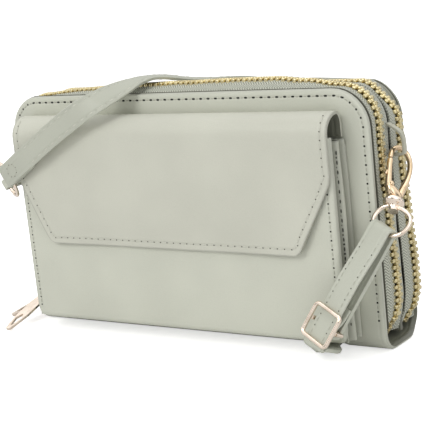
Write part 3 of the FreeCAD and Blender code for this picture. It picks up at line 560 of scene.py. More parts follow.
def makeSeamShade():
    # painted shade: a thin dark tube along each panel's edge where it meets its zip tape, standing in for the shaded
    # groove there
    bm = bmesh.new()
    for y, r in ((-17.5, 0.42), (17.5, 0.25)):
        line = [backShift(p) for p in archLine(*insetArch(coverSizes["seamIn"]), coverSizes["seamLow"], y)]
        sweepTube(bm, line, [(r, r)] * len(line), yAxis, 8)
    toObject("coverSeamShade", bm, [seamShade], "cover_leather", "pouch")


makeCoverStitches()
makeSeamShade()
print("cover", len(cover.data.polygons))


# inside sheets: divider between the zips and two linings
def archSheet(name, half, high, corner, low, y0, y1, material, rimRound, node):
    columns = archColumns(half, high, corner, 20)
    rows = []
    for i in range(13):
        spots = [(x, top - (top - low) * i / 12) for x, top in columns]
        rows.append([(pt(x, y0, z), archInset(x, z, half, high, corner)) for x, z in spots])
    bm = bmesh.new()
    made = bmesh.ops.extrude_face_region(bm, geom=gridSheet(bm, rows))
    moved = [g for g in made["geom"] if isinstance(g, bmesh.types.BMVert)]
    bmesh.ops.translate(bm, verts=moved, vec=(0, (y1 - y0) * mm, 0))
    roundRim(bm, rimRound)
    toObject(name, bm, [material], "lining", "pouch", [node])


insideSizes = {"dividerIn": 2.8, "dividerLow": 4.7, "dividerY": 1.2, "liningIn": 4.0, "liningLow": 14.1,
               "liningY": (16.85, 17.55), "backTrim": 4.5}


def makeInside():
    s = insideSizes
    # the divider takes the dark leather, painted shade between the zips
    archSheet("dividerSheet", *insetArch(s["dividerIn"]), s["dividerLow"], -s["dividerY"], s["dividerY"],
              shadedInnerLeather, 0.8, "divider_panel")
    half, high, corner = insetArch(s["liningIn"])
    y0, y1 = s["liningY"]
    for name, sign, trim in (("front_lining", -1, 0.0), ("back_lining", 1, s["backTrim"])):
        archSheet(name + "_cloth", half - trim, high, corner, s["liningLow"], sign * y0, sign * y1,
                  liningCloth, 0.2, name)


makeInside()


# zips: woven tapes and metal teeth round left side, top and right side
# toothBoxes: place along the tooth, size of the box, height
zipSizes = {"half": 99.0, "high": 115.0, "corner": 16.0, "low": 6.0, "thick": 0.8, "pitch": 2.9, "runTop": 64.0,
            "toothBoxes": ((0.36, (2.5, 0.72, 1.65), 0.0), (0.78, (2.9, 0.44, 1.35), 0.1)), "toothRound": 0.28,
            "tapeStep": 2.4, "tapeCells": 8, "tapeCurve": 0.75, "tapeBow": 0.35, "tapeWave": 0.10, "chainStep": 0.8,
            "chainIn": 0.45, "firstTooth": 12.5, "runLeft": -90}
# how far the filled front zip bows out over the top, by place across the pouch
topBow = [(-84, 0.5), (-60, 2.4), (-32, 3.6), (0, 4.1), (30, 4.6), (50, 4.6), (66, 3.4), (84, 1.2)]
# how far both zips swell out on the right side and tuck in at its foot, by height
sideBow = [(6, -5.0), (10, -2.6), (15, 1.0), (22, 2.7), (34, 2.6), (55, 1.3), (80, 0.0), (120, 0.0)]


def archStations(half, high, corner, low, step):
    # evenly spaced stations: point, outward angle and distance
    side, turn, top = high - corner - low, corner * pi / 2, 2 * (half - corner)
    total = 2 * side + 2 * turn + top
    count = int(total / step)

    def onCorner(x, a):
        return (x + corner * cos(a), high - corner + corner * sin(a)), a

    found = []
    for i in range(count + 1):
        d = total * i / count
        over = d - side - turn
        if d < side:
            spot = (-half, low + d), pi
        elif over < 0:
            spot = onCorner(-half + corner, pi / 2 - over / corner)
        elif over < top:
            spot = (-half + corner + over, high), pi / 2
        elif over < top + turn:
            spot = onCorner(half - corner, pi / 2 - (over - top) / corner)
        else:
            spot = (half, high - corner - (over - top - turn)), 0.0
        found.append((*spot, d))
    return found


def zipPoint(x, z, a, rise, flare, trim, cut):
    # moves a station of the plain arch to where the zip's edge lies there
    out = rise * fromTable(topBow, x) * max(0.0, sin(a)) ** 2
    if a < 0.01:
        out += flare * fromTable(sideBow, z)
    out -= trim * max(0.0, cos(a))
    if x > 0:
        out -= cut * max(0.0, sin(2 * a)) ** 1.5  # rounder corner of the rear zip
    return x + out * cos(a), z + out * sin(a)


def makeTape(name, part, y0, y1, first, last):
    # first and last: rise, flare, trim and corner cut of the tape's two long edges
    s = zipSizes
    cells = s["tapeCells"]
    bm = bmesh.new()
    uv = bm.loops.layers.uv.new("tapeMm")
    stations = archStations(s["half"], s["high"], s["corner"], s["low"], s["tapeStep"])
    lastOut = last[0] + last[1] > first[0] + first[1]
    rows = []
    for (x, z), a, d in stations:
        out = Vector((cos(a), 0, sin(a)))
        row = []
        for t in [i / cells for i in range(cells + 1)]:
            q = t ** s["tapeCurve"] if lastOut else 1 - (1 - t) ** s["tapeCurve"]
            px, pz = zipPoint(x, z, a, *[u + (v - u) * q for u, v in zip(first, last)])
            bow = s["tapeBow"] * (sin(pi * t) - 1) + s["tapeWave"] * sin(d * 0.35 + y0)
            row.append((pt(px, y0 + (y1 - y0) * t, pz) + out * bow * mm, farFromRim))
        rows.append(row)
    faces = gridSheet(bm, rows)
    bm.verts.index_update()
    for f in faces:
        for loop in f.loops:
            r, c = divmod(loop.vert.index, cells + 1)
            loop[uv].uv = (stations[r][2], abs(y1 - y0) * c / cells)
    bm.normal_update()
    centre = pt(0, 0, 40)
    turned = [f for f in faces if (f.calc_center_median() - centre).dot(f.normal) < 0]
    bmesh.ops.reverse_faces(bm, faces=turned)
    bmesh.ops.solidify(bm, geom=faces, thickness=s["thick"] * mm)
    node = name + "_zip_" + part + "_tape"
    toObject(name + part.title() + "Tape", bm, [zipTape], "zip_tape", "pouch", [node])


def makeTeeth(name, node, y0, y1, offset, rise, cut, inRun):
    # each tooth: a flat leg clamped on the tape and a domed head at the middle of the chain
    s = zipSizes
    bm = bmesh.new()
    sizes = [s[key] - s["chainIn"] for key in ("half", "high", "corner")]
    chain = []
    for (x, z), a, d in archStations(*sizes, s["low"], s["chainStep"]):
        px, pz = zipPoint(x, z, a, rise, 1.0, 0.0, cut)
        chain.append(pt(px, 0, pz))
    done, wanted = 0.0, (s["firstTooth"] + offset) * mm
    for p, q in zip(chain, chain[1:]):
        span = (q - p).length
        while wanted <= done + span:
            run = (q - p).normalized()
            turn = Matrix((Vector((-run.z, 0, run.x)), yAxis, -run)).transposed().to_4x4()
            spot = Matrix.Translation(p.lerp(q, (wanted - done) / span) + yAxis * y0 * mm) @ turn
            passed = p.x < s["runLeft"] * mm and p.z < s["runTop"] * mm  # teeth that the slider runs over
            for at, grow, tall in s["toothBoxes"] if passed == inRun else ():
                size = Vector((grow[0], grow[1] * abs(y1 - y0), grow[2])) * mm
                place = spot @ Matrix.Translation((tall * mm, at * (y1 - y0) * mm, 0))
                bmesh.ops.create_cube(bm, size=1.0, matrix=place @ Matrix.Diagonal((*size, 1)))
            wanted += s["pitch"] * mm
        done += span
    roundEdges(bm, bm.edges[:], s["toothRound"], 2)
    return toObject(name, bm, [toothBrass], "zip_teeth", "pouch", [node], "cast")


for name, sign, rise, trim, cut in (("front", -1, 1.0, 0.0, 0.0), ("rear", 1, 0.0, 4.0, 3.0)):
    ends = {"outer": ((17.6, 11.4), (0.0, 0.0, trim, cut * 0.6), (rise, 1.0, 0.0, cut)),
            "inner": ((7.0, 1.2), (rise, 1.0, 0.0, cut), (0.0, 0.5, 0.0, 0.0))}
    for part, ((a, b), first, last) in ends.items():
        makeTape(name, part, sign * a, sign * b, first, last)
    for part, (a, b), offset in (("outer", (12.3, 8.2), 0.0), ("inner", (6.1, 10.2), 1.45)):
        for piece, inRun in (("Teeth", False), ("RunTeeth", True)):
            node = name + "_zip_" + part + "_teeth"
            teeth = makeTeeth(name + part.title() + piece, node, sign * a, sign * b, offset, rise, cut, inRun)
            if inRun:  # the teeth the slider runs over get a mesh of their own; the rows part round the slider's post as it runs up
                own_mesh(teeth)
print("zips done")


# phone pocket: front sheet folded under, pleated side gussets, sewn back
pocketSizes = {"half": 87.7, "low": 7.0, "high": 97.0, "front": 33.0, "thick": 1.5, "bend": 3.0, "roll": 2.2,
               "corner": 5.0, "belly": 1.1, "rimRound": 0.4, "shares": (1, 0.995, 0.985, 0.97, 0.95, 0.92)}
pocketStitch = {"pitch": 3.9, "length": 2.0, "width": 0.55, "rise": 0.18, "hole": 0.42}


def pocketHalf(z):
    s = pocketSizes
    below = s["corner"] - (z - s["low"])
    if below <= 0:
        return s["half"]
    return s["half"] - (s["corner"] - sqrt(max(0.0, s["corner"] ** 2 - below ** 2))) * 0.8


def makePocketFront():
    s = pocketSizes
    shares = spread(s["shares"], 0.88, 27)
    heights = [s["high"] - d for d in (0, 0.8, 2, 4, 8)] + [89 - 79 * i / 22 for i in range(1, 23)]

    def line(z, y, inwards):
        half = pocketHalf(z)
        swell = s["belly"] * sin(pi * min(1, (z - s["low"]) / (s["high"] - s["low"]))) * inwards
        row = []
        for x in [u * half for u in shares]:
            d = half - abs(x)
            belly = swell * (1 - (x / s["half"]) ** 2)
            row.append((pt(x, y + rolled(d, s["roll"]) * inwards - belly, z), d))
        return row

    rows = [line(z, -s["front"], 1.0) for z in heights]
    for i in range(1, 8):
        a = radians(90 * i / 7)
        up, back = s["bend"] * (1 - sin(a)), s["bend"] * (1 - cos(a))
        rows.append(line(s["low"] + up, -s["front"] + back, 1 - i / 7))
    rows += [line(s["low"], y, 0.0) for y in (-27.0, -24.0, -21.4)]
    sheetPiece("pocketFrontSheet", rows, [coverLeather], s["thick"], s["rimRound"],
               "cover_leather", "pouch", ["pocket_front_panel", "pocket_bottom_strip"])


def makePocketStitches():
    bm = bmesh.new()
    for sign in (-1, 1):
        line = [pt(sign * 84.7, -33.12, z) for z in (94.0, 70.0, 40.0, 12.5)]
        stitchRow(bm, line, lambda p: -yAxis, pocketStitch)
    toObject("pocketStitching", bm, [paleThread, needleHoleShade], "cover_leather", "pouch")


makePocketFront()
makePocketStitches()


# pleated side of the pocket seen from above: x out from the middle, y to the back
gussetPath = [(87.2, -31.3), (84.0, -30.9), (78.4, -30.3), (77.4, -29.5), (79.6, -28.7), (85.6, -27.7),
              (88.2, -27.0), (88.3, -26.1), (85.8, -25.6), (79.2, -24.8), (77.6, -24.0), (79.6, -23.2),
              (85.2, -22.4), (87.9, -21.8), (88.5, -21.3)]
gussetSizes = {"low": 7.8, "high": 95.0, "out": 88.4, "thick": 0.5, "rows": 18}
gussetStitch = {"pitch": 4.1, "length": 2.1, "width": 0.75, "rise": 0.3, "hole": 0.5}


def makeGusset(name, sign):
    s = gussetSizes
    profile = splinePoints([Vector((x, y, 0)) for x, y in gussetPath], 4)
    rows = []
    for t in [i / s["rows"] for i in range(s["rows"] + 1)]:
        z = s["low"] + (s["high"] - s["low"]) * t
        pinch = 1 - 0.3 * (1 - smoothStep(0, 0.12, t))
        rim = min(farFromRim, (1 - t) * 80, t * 80 + 2)
        xs = [s["out"] + (p.x - s["out"]) * pinch - 0.3 * sin(9 * t + k * 0.2) for k, p in enumerate(profile)]
        rows.append([(pt(sign * x, p.y, z), rim) for x, p in zip(xs, profile)])
    bm = bmesh.new()
    thicken(bm, gridSheet(bm, rows), s["thick"])
    # dark sewing along the front of the middle fold
    line = [pt(sign * 87.55, -27.62, z) for z in (93.0, 60.0, 30.0, 12.0)]
    first = len(bm.faces)
    stitchRow(bm, line, lambda p: Vector((0.5 * sign, -0.86, 0)), gussetStitch)
    bm.faces.ensure_lookup_table()
    for f in bm.faces[first:]:
        f.material_index = 1
    node = "pocket_gusset_" + name
    # the pleated side takes the darker leather, painted shade in the folds
    toObject(name + "Gusset", bm, [shadedGussetLeather, stitchThread], "cover_leather", "pouch", [node])


for name, sign in (("right", 1), ("left", -1)):
    makeGusset(name, sign)

pocketBackSizes = {"half": 88.4, "low": 7.2, "high": 92.5, "y": -20.95, "thick": 0.7, "rimRound": 0.2}


def makePocketBack():
    s = pocketBackSizes
    xs = [-s["half"] + 2 * s["half"] * k / 24 for k in range(25)]
    rows = []
    for i in range(13):
        z = s["low"] + (s["high"] - s["low"]) * i / 12
        y = s["y"] - 0.1 * sin(z * 0.2)
        rows.append([(pt(x, y, z), min(s["half"] - abs(x), s["high"] - z + 0.2)) for x in xs])
    sheetPiece("pocketBackSheet", rows, [coverLeather], s["thick"], s["rimRound"],
               "cover_leather", "pouch", ["pocket_back_panel"], segments=2)


makePocketBack()
print("pocket done")


# flap: one sheet sewn behind the fold, rolled over and hanging in front
# slant: share of a distance across that counts towards the sloped edge
flapSizes = {"half": 87.5, "bottom": 46.5, "thick": 1.4, "slopeTop": 79.0, "slopeIn": 15.5, "slopeLow": 50.0,
             "slopeRound": 3.0, "slant": 0.88, "root": -20.8, "axisY": -25.0, "front": -35.1, "shoulder": 98.0,
             "rearY": 4.2, "rearZ": 6.4, "rearLow": 101.0, "rollY": 10.1, "rollZ": 9.4, "cornerX": 66.53,
             "cornerZ": 52.5, "cornerR": 6.0, "cornerTop": 49.67, "rimRound": 0.5, "stitchIn": 3.0,
             "shares": (1, 0.993, 0.982, 0.965, 0.94, 0.91)}
flapHeights = [94, 90, 86, 82, 80.5, 79, 77.5, 76, 72, 68, 64, 60, 56, 53, 51, 49.67, 48.6, 47.7, 47.0, 46.65, 46.5]
flapStitch = {"pitch": 3.7, "length": 2.4, "width": 0.6, "rise": 0.24, "hole": 0.34}


def flapHalf(z):
    s = flapSizes
    slope = s["slopeIn"] / (s["slopeTop"] - s["slopeLow"])
    above, bend = z - s["slopeTop"], s["slopeRound"]
    if above >= bend:
        return s["half"]
    if z <= s["cornerTop"]:
        return s["cornerX"] + sqrt(max(0.0, s["cornerR"] ** 2 - (s["cornerZ"] - z) ** 2))
    if above > -bend:
        return s["half"] - slope * (bend - above) ** 2 / (4 * bend)
    return s["half"] + slope * above


def flapBulge(x, z):
    # swell, slight waves, and lower corners that stand off the pocket
    swell = 0.9 * (1 - (x / 90) ** 2) * sin(pi * min(1, max(0, (98 - z) / 52)))
    drape = 0.3 * sin(x * 0.06 + 0.8) * smoothStep(95, 60, z)
    lift = 0.5 + 1.7 * smoothStep(25, 80, x) + 0.5 * smoothStep(-25, -80, x)
    return swell + drape + lift * smoothStep(76, 46, z)


def flapRoll(degrees, proud=0.0):
    # places on the front half of the roll, as y and z
    s = flapSizes
    turns = [radians(a) for a in degrees]
    return [(s["axisY"] + (s["rollY"] + proud) * cos(a), s["shoulder"] + (s["rollZ"] + proud) * sin(a))
            for a in turns]


def makeFlap():
    s = flapSizes
    rear = [radians(90 * i / 7) for i in range(1, 8)]
    path = [(s["root"], z) for z in (95.8, 97.4, 99.2, s["rearLow"])]
    path += [(s["axisY"] + s["rearY"] * cos(a), s["rearLow"] + s["rearZ"] * sin(a)) for a in rear]
    path += flapRoll([90 + 90 * i / 10 for i in range(1, 11)])
    shares = spread(s["shares"], 0.87, 29)
    wide = [u * s["half"] for u in shares]
    rows = [[(pt(x, y, z), s["half"] - abs(x)) for x in wide] for y, z in path]
    for z in flapHeights:
        half = flapHalf(z)
        slant = s["slant"] if z < s["slopeTop"] else 1.0
        row = []
        for x in [u * half for u in shares]:
            rim = min((half - abs(x)) * slant, z - s["bottom"] + 0.02)
            row.append((pt(x, s["front"] - flapBulge(x, z), z), rim))
        rows.append(row)
    # the flap's underside takes the dark leather, painted shade under the flap
    return sheetPiece("flapSheet", rows, [flapLeather, shadedInnerLeather], s["thick"], s["rimRound"],
                      "cover_leather", "", ["flap", "flap_root_strip"], inside=(pt(0, -26, 88),))


flap = makeFlap()
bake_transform(flap)


def makeFlapStitches():
    s = flapSizes
    inset = s["stitchIn"]
    bm = bmesh.new()
    heights = [96 - 2 * i for i in range(23)] + [50.6]
    line = [(-(flapHalf(z) - (inset if z > s["slopeTop"] else inset / s["slant"])), z) for z in heights]
    line += [(-67.4, 49.55), (-65.5, 49.5)]
    line += [(-x, z) for x, z in reversed(line)]
    # the long lower run is split so that the thread follows the sheet's swell
    full = []
    for (x0, z0), (x1, z1) in zip(line, line[1:]):
        n = max(1, int(abs(x1 - x0) / 4))
        full += [(x0 + (x1 - x0) * i / n, z0 + (z1 - z0) * i / n) for i in range(n)]
    full.append(line[-1])
    points = [pt(x, s["front"] - flapBulge(x, z) - 0.03, z) for x, z in full]
    # the side rows go on up the roll
    side = s["half"] - inset
    roll = flapRoll((116, 124, 132, 140, 148, 156, 164, 172), 0.03)
    points = [pt(-side, y, z) for y, z in roll] + points + [pt(side, y, z) for y, z in reversed(roll)]

    def facing(p):
        high = max(0.0, p.z / mm - s["shoulder"])
        return unit(0, (p.y / mm - s["axisY"]) / s["rollY"] if high else -1, high / s["rollZ"])

    stitchRow(bm, points, facing, flapStitch)
    toObject("flapStitching", bm, [flapThread, softHoleShade], "cover_leather", "flap")


makeFlapStitches()
print("flap done")


# strap: flat leather band, drawn through the route's points with its way across at each
# edgeShift brings the leather's sewn groove under the sewing
strapSizes = {"width": 11.5, "thick": 1.6, "stitchIn": 1.9, "stitchOut": 0.84, "edgeShift": 1.1}
strapStitch = {"pitch": 5.4, "length": 2.2, "width": 0.5, "rise": 0.18, "hole": 0.34}


def strapSection():
    w, h = strapSizes["width"] / 2, strapSizes["thick"] / 2
    half = [(-w + 0.5, h), (-w / 2, h + 0.05), (0, h + 0.06), (w / 2, h + 0.05), (w - 0.5, h),
            (w - 0.15, h - 0.18), (w, h - 0.5)]
    return half + [(-a, -b) for a, b in half]


def makeStrap(name, route, sides, body="", replaced=(), rowsOn=(), steps=10, sewnTo=1.0,
              materials=(strapLeather, paleThread, softHoleShade)):
    # rowsOn: +1 or -1 for each face that shows its sewing; sewnTo: share of the length that is sewn
    s = strapSizes
    points = splinePoints(route, steps)
    section = strapSection()
    last = len(points) - 1
    rings, frames = [], []
    for i, p in enumerate(points):
        place = i / last * (len(sides) - 1)
        k = min(int(place), len(sides) - 2)
        across = sides[k].lerp(sides[k + 1], place - k).normalized()
        run = (points[min(i + 1, last)] - points[max(i - 1, 0)]).normalized()
        side = (across - run * across.dot(run)).normalized()
        face = side.cross(run)
        frames.append((side, face))
        rings.append([p + side * a * mm + face * b * mm for a, b in section])
    bm = bmesh.new()
    layer = bm.verts.layers.float.new("edgeMm")
    for line in loft(bm, rings):
        for v, (a, b) in zip(line, section):
            v[layer] = s["width"] / 2 - abs(a) + s["edgeShift"]
    first = len(bm.faces)
    sewn = range(int(sewnTo * last) + 1)
    inset = s["width"] / 2 - s["stitchIn"]
    for sign in rowsOn:
        def normalAt(p):
            k = min(range(last + 1), key=lambda i: (points[i] - p).length_squared)
            return frames[k][1] * sign

        for way in (-1, 1):
            line = [points[i] + frames[i][0] * way * inset * mm + frames[i][1] * sign * s["stitchOut"] * mm
                    for i in sewn]
            stitchRow(bm, line, normalAt, strapStitch, holeIndex=2)
    bm.faces.ensure_lookup_table()
    for f in bm.faces[first:]:
        f.material_index = max(f.material_index, 1)
    return toObject(name, bm, materials, "strap_leather", body, replaced)


# right: clasp and strap frames, as the solids have them
claspTop = pt(103.4, 1.2, 86.3)
claspAim = unit(0.165, -0.71, -0.685)
claspZ = -claspAim
claspX = (xAxis - claspZ * claspZ.x).normalized()
claspY = claspZ.cross(claspX)
ringDrop, ringTurn = 37.0, radians(36.5)
ringHalf, ringReach, ringRadius = 8.85, 6.4, 0.95
ringAlong = claspX * cos(ringTurn) - claspZ * sin(ringTurn)
ringDown = -claspX * sin(ringTurn) - claspZ * cos(ringTurn)
ringCentre = claspTop - claspZ * ringDrop * mm
ringBar = ringCentre + ringDown * ringReach * mm
buckle = pt(86.4, -43.9, 18.6)
strapRun = (ringBar - buckle).normalized()
strapAcross = (ringAlong - strapRun * ringAlong.dot(strapRun)).normalized()
strapOut = strapRun.cross(strapAcross)
if strapOut.y > 0:
    strapOut = -strapOut
runLength = (ringBar - buckle).length / mm
loopR, barR = 2.25, 2.05
liftN = barR + strapSizes["thick"] + 0.25


def onStrap(s, n):
    return buckle + strapRun * s * mm + strapOut * n * mm


# front layer up to the ring, round it and a little down the back
spots = [(-8.2, liftN), (-2, liftN), (6, liftN), (14, liftN), (22, liftN), (31, 3.0), (38, loopR)]
spots += [(runLength - 1, loopR), (runLength + 2.6, loopR), (runLength + 2.6, -loopR), (runLength - 1, -loopR)]
spots += [(runLength - 5, -loopR)]
route = [onStrap(*spot) for spot in spots]
loopFront = makeStrap("strapFrontLayer", route, [strapAcross] * 2, "", ["strap_adjusting_loop"], (-1, 1), sewnTo=0.62)
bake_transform(loopFront)
# back layer between ring and buckle bar
spots = ((runLength - 5, -loopR), (30, -loopR), (20, -2.1), (11, -barR), (4, -barR))
loopBack = makeStrap("strapBackLayer", [onStrap(*spot) for spot in spots], [strapAcross] * 2, "right_clasp")
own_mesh(loopBack)
# fold round the buckle's middle bar, sewn to itself
spots = ((4, -barR), (-0.2, -barR), (-2.4, -barR), (-2.4, barR), (0.4, barR), (2.4, 1.6), (5.5, 0.0), (11, -0.2))
barFold = makeStrap("strapBarFold", [onStrap(*spot) for spot in spots], [strapAcross] * 2, "buckle")

# from the buckle down to the floor and under the pouch
start = onStrap(-8.2, liftN)
spots = ((81.6, -47.0, 10.6), (81.6, -41.6, 7.4), (79.5, -34.5, 4.5), (75.0, -28.0, 2.9), (70.5, -21.5, 1.6),
         (68.2, -14, 1.1), (68, -4, 1.1), (68, 6, 1.1), (68, 15, 1.1))
route = [start, start - strapRun * 1.6 * mm] + [pt(*spot) for spot in spots]
ways = ((0.93, -0.33, -0.17), (0.95, -0.28, 0), (0.97, -0.1, 0), (0.93, 0.25, 0), (0.85, 0.5, 0), (0.9, 0.4, 0),
        (1, 0.05, 0))
sides = [strapAcross] + [unit(*way) for way in ways] + [xAxis] * 3
underRun = makeStrap("strapUnderRun", route, sides, "", ["strap_under_run"])
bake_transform(underRun)

# hank: the strap's spare length folded to and fro behind the pouch; pull and loop shape its folds
hankSizes = {"tilt": 25.0, "high": 96.0, "low": 6.5, "lowX": 66.0, "back": 53.0, "gap": 5.0, "layers": 7,
             "pull": 1.5, "loop": 2.4}
tilt = radians(hankSizes["tilt"])
hankDown = Vector((sin(tilt), 0, -cos(tilt)))
hankAcross = Vector((cos(tilt), 0, sin(tilt)))
hankLength = (hankSizes["high"] - hankSizes["low"]) / cos(tilt)
hankTop = Vector((hankSizes["lowX"], 0, hankSizes["low"])) - hankDown * hankLength


def hankRoute():
    s = hankSizes
    route = []
    for i in range(s["layers"]):
        y = s["back"] - s["gap"] * i
        sign = 1 if i % 2 == 0 else -1
        a, b = (0.0, hankLength) if sign > 0 else (hankLength, 0.0)
        marks = [(a, y)] if i == 0 else [(a - sign * s["loop"], y), (a + sign * s["pull"], y)]
        marks += [(a + (b - a) * 0.5, y + 0.3 * sign)]
        marks += [(b, y)] if i == s["layers"] - 1 else [(b - sign * s["pull"], y), (b + sign * s["loop"], y)]
        route += [(hankTop + hankDown * along + yAxis * yy) * mm for along, yy in marks]
    return route


route = hankRoute()
sides = [hankAcross] * len(route) + [(hankAcross + xAxis).normalized()] + [xAxis] * 3
route += [pt(67.4, 21.6, 3.4), pt(68, 19.4, 1.6), pt(68, 17.2, 1.1), pt(68, 15.0, 1.1)]
hank = makeStrap("strapHank", route, sides, "pouch", ["strap_hank", "strap_lower_turn"], steps=8)

# tie: corners as place across, place to the back and first angle; rows as height and width
tieSizes = {"at": 50.0, "thick": 0.7,
            "corners": ((-6.0, 23.0, 180), (6.0, 23.0, 270), (6.0, 53.4, 0), (-6.0, 53.4, 90)),
            "rows": ((-2.5, 1.0), (-1.5, 1.0024), (0.0, 1.004), (1.5, 1.0024), (2.5, 1.0))}


def makeTie():
    spot = hankTop + hankDown * tieSizes["at"]
    ring = []
    for a, b, first in tieSizes["corners"]:
        for t in [radians(90 * k / 4 + first) for k in range(5)]:
            ring.append((a + cos(t), b + sin(t)))
    rows = []
    for h, wide in tieSizes["rows"]:
        rows.append([((spot + hankAcross * a * wide - hankDown * h + yAxis * b) * mm, farFromRim)
                     for a, b in ring + ring[:1]])
    bm = bmesh.new()
    gridSheet(bm, rows)
    bmesh.ops.remove_doubles(bm, verts=bm.verts[:], dist=1e-6)
    thicken(bm, bm.faces[:], tieSizes["thick"])
    return toObject("strapTie", bm, [tieBand], "tie", "pouch", ["strap_tie"])


makeTie()

# left: fold round the left ring, over the flap's corner and the top, down to the hank
leftBar = pt(-91.6, -36.8, 79.7)
leftAim = unit(-0.68, 0.592, -0.433)
leftRun = unit(0.849, -0.054, 0.526)
leftSide = leftAim.cross(unit(14.0, -8.7, 8.9)).normalized()
leftOut = leftRun.cross(leftSide)
if leftOut.y > 0:
    leftOut = -leftOut
leftLength, leftR = 18.7, 1.98


def onLeft(s, n):
    return leftBar + leftRun * s * mm + leftOut * n * mm


# the left end and the run over the top take the darker strap leather: painted shade
leftShadedLook = (shadedTopStrapLeather, flapThread, paleThread)
spots = ((leftLength, leftR), (10, leftR), (1.0, leftR), (-2.0, leftR), (-2.0, -leftR), (1.0, -leftR), (4.5, -1.0),
         (8.5, 0.2), (leftLength, 0.2))
route = [onLeft(*spot) for spot in spots]
leftEnd = makeStrap("strapLeftEnd", route, [leftSide] * 2, "", ["strap_left_end"], (1,), sewnTo=0.2, materials=leftShadedLook)
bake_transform(leftEnd)

# each place over the top with the strap's way across there
overTop = [((-52.5, -40.9, 103.6), (0.53, 0, -0.85)), ((-38.0, -40.2, 111.6), (0.56, -0.1, -0.82)),
           ((-29.5, -36.0, 116.0), (0.66, -0.25, -0.68)), ((-26.0, -27.0, 118.8), (0.8, -0.38, -0.45)),
           ((-23.5, -17.0, 121.2), (0.85, -0.48, -0.15)), ((-19.0, -9.5, 122.4), (0.78, -0.62, 0)),
           ((-13.0, -3.0, 121.4), (0.66, -0.75, 0)), ((-7.0, 4.5, 118.9), (0.64, -0.77, 0.02)),
           ((0.0, 12.0, 117.7), (0.68, -0.72, 0.04)), ((7.0, 21.5, 116.9), (0.76, -0.63, 0.1)),
           ((14.0, 33.0, 113.0), (0.84, -0.4, 0.25)), ((20.0, 44.0, 107.0), (0.88, -0.2, 0.36)),
           ((23.2, 51.0, 101.5), (0.9, -0.08, 0.42))]
route = [onLeft(leftLength, leftR), onLeft(leftLength + 8, leftR + 0.2)] + [pt(*spot) for spot, way in overTop]
route += [(hankTop + yAxis * hankSizes["back"]) * mm]
sides = [leftSide, leftSide] + [unit(*way) for spot, way in overTop] + [hankAcross]
leftOver = makeStrap("strapOverTop", route, sides, "", ["strap_left_run"], (1, -1), sewnTo=0.75, materials=leftShadedLook)
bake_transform(leftOver)

endStitch = {"pitch": 2.3, "length": 1.5, "width": 0.5, "rise": 0.16, "hole": 0.26}


def makeEndMark():
    # ring of small stitches that holds the strap's folded end
    bm = bmesh.new()
    face = leftOut.normalized()
    side = face.cross(leftRun).normalized()
    middle = onLeft(6.4, leftR) + face * 0.86 * mm
    turns = fullTurn(24) + [2 * pi]
    line = [middle + (leftRun * cos(u) + side * sin(u)) * 3.0 * mm for u in turns]
    stitchRow(bm, line, lambda p: face, endStitch, margin=0.0)
    return toObject("strapEndMark", bm, [paleThread, softHoleShade], "strap_leather")


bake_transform(makeEndMark())


# tabs: right loop under the hook, left loop round the ring
def tabStrip(name, points, across, width, thick, material, body, node):
    shares = [width * k / 4 for k in (-2, -1, 0, 1, 2)]
    rows = [[(p + across * a * mm, width / 2 - abs(a) + 0.2) for a in shares] for p in splinePoints(points, 8)]
    return sheetPiece(name, rows, [material], thick, 0.35, "cover_leather", body, [node], segments=2)


hookSpot = claspTop + claspAim * 5.0 * mm + zAxis * 5.0 * mm
cx, cz = hookSpot.x / mm, hookSpot.z / mm - 0.7
spots = ((99.3, 98.4), (101.4, 97.4), (104.4, 95.6), (cx + 2.5, cz + 6.2), (cx + 2.9, cz + 1.0), (cx + 2.7, cz - 3.0),
         (cx - 1.5, cz - 3.2), (100.4, 84.0), (99.2, 84.2))
points = [pt(x, -2.3, z) for x, z in spots]
tabStrip("rightTabLoop", points, yAxis, 3.0, 1.0, tabLeather, "pouch", "right_strap_tab")

leftWire = leftBar + leftAim * 2 * ringReach * mm
tabBack = pt(-104.2, -2.0, 78.0) - leftWire
tabBack -= leftSide * tabBack.dot(leftSide)
tabRun = tabBack.normalized()
tabSide = leftSide.cross(tabRun)
tabLong = tabBack.length / mm
spots = [(tabLong + 2, 0.9), (10, 0.9), (4.5, 1.2), (2.2, 2.3), (-2.4, 2.4)]
spots += [(a, -b) for a, b in reversed(spots)]
points = [leftWire + (tabRun * a + tabSide * b) * mm for a, b in spots]
leftTab = tabStrip("leftTabLoop", points, leftSide, 5.0, 1.1, coverLeather, "", "left_ring_tab")
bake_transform(leftTab)
print("tabs done")


# clasp: teardrop hook, gate lever, swivel collar and ring, in the clasp's own frame turned a little to the front
hookTurn = radians(28.0)
hookX = claspX * cos(hookTurn) - claspY * sin(hookTurn)
hookY = claspY * cos(hookTurn) + claspX * sin(hookTurn)
hookPath = [(2.2, -24.0), (3.2, -20.5), (4.4, -16.5), (5.4, -12.4), (5.9, -8.2), (5.3, -4.0), (3.2, -1.0), (0.2, -0.1),
            (-2.7, -0.8), (-4.6, -3.0), (-5.2, -5.8), (-5.1, -7.9)]
# flat shield below the hook, narrowing to the swivel neck: height, left, right and half thickness
shieldRows = [(-20.4, -5.3, -2.8, 1.1), (-21.0, -5.4, -1.8, 1.7), (-22.2, -5.1, 0.8, 2.0), (-23.5, -4.5, 2.6, 2.1),
              (-24.6, -3.6, 2.9, 2.1), (-25.2, -2.9, 2.6, 2.0), (-25.6, -2.2, 2.2, 1.8)]
gatePath = [(-4.0, -22.0), (-4.5, -18.5), (-4.9, -14.5), (-5.1, -11.0), (-5.1, -8.5)]
# turned bell round the swivel post: height and radius
collarRows = [(-25.9, 2.2), (-26.2, 3.4), (-26.8, 4.4), (-27.6, 4.7), (-28.4, 4.5), (-29.0, 3.6), (-29.5, 2.4),
              (-30.6, 1.9), (-32.0, 1.6)]


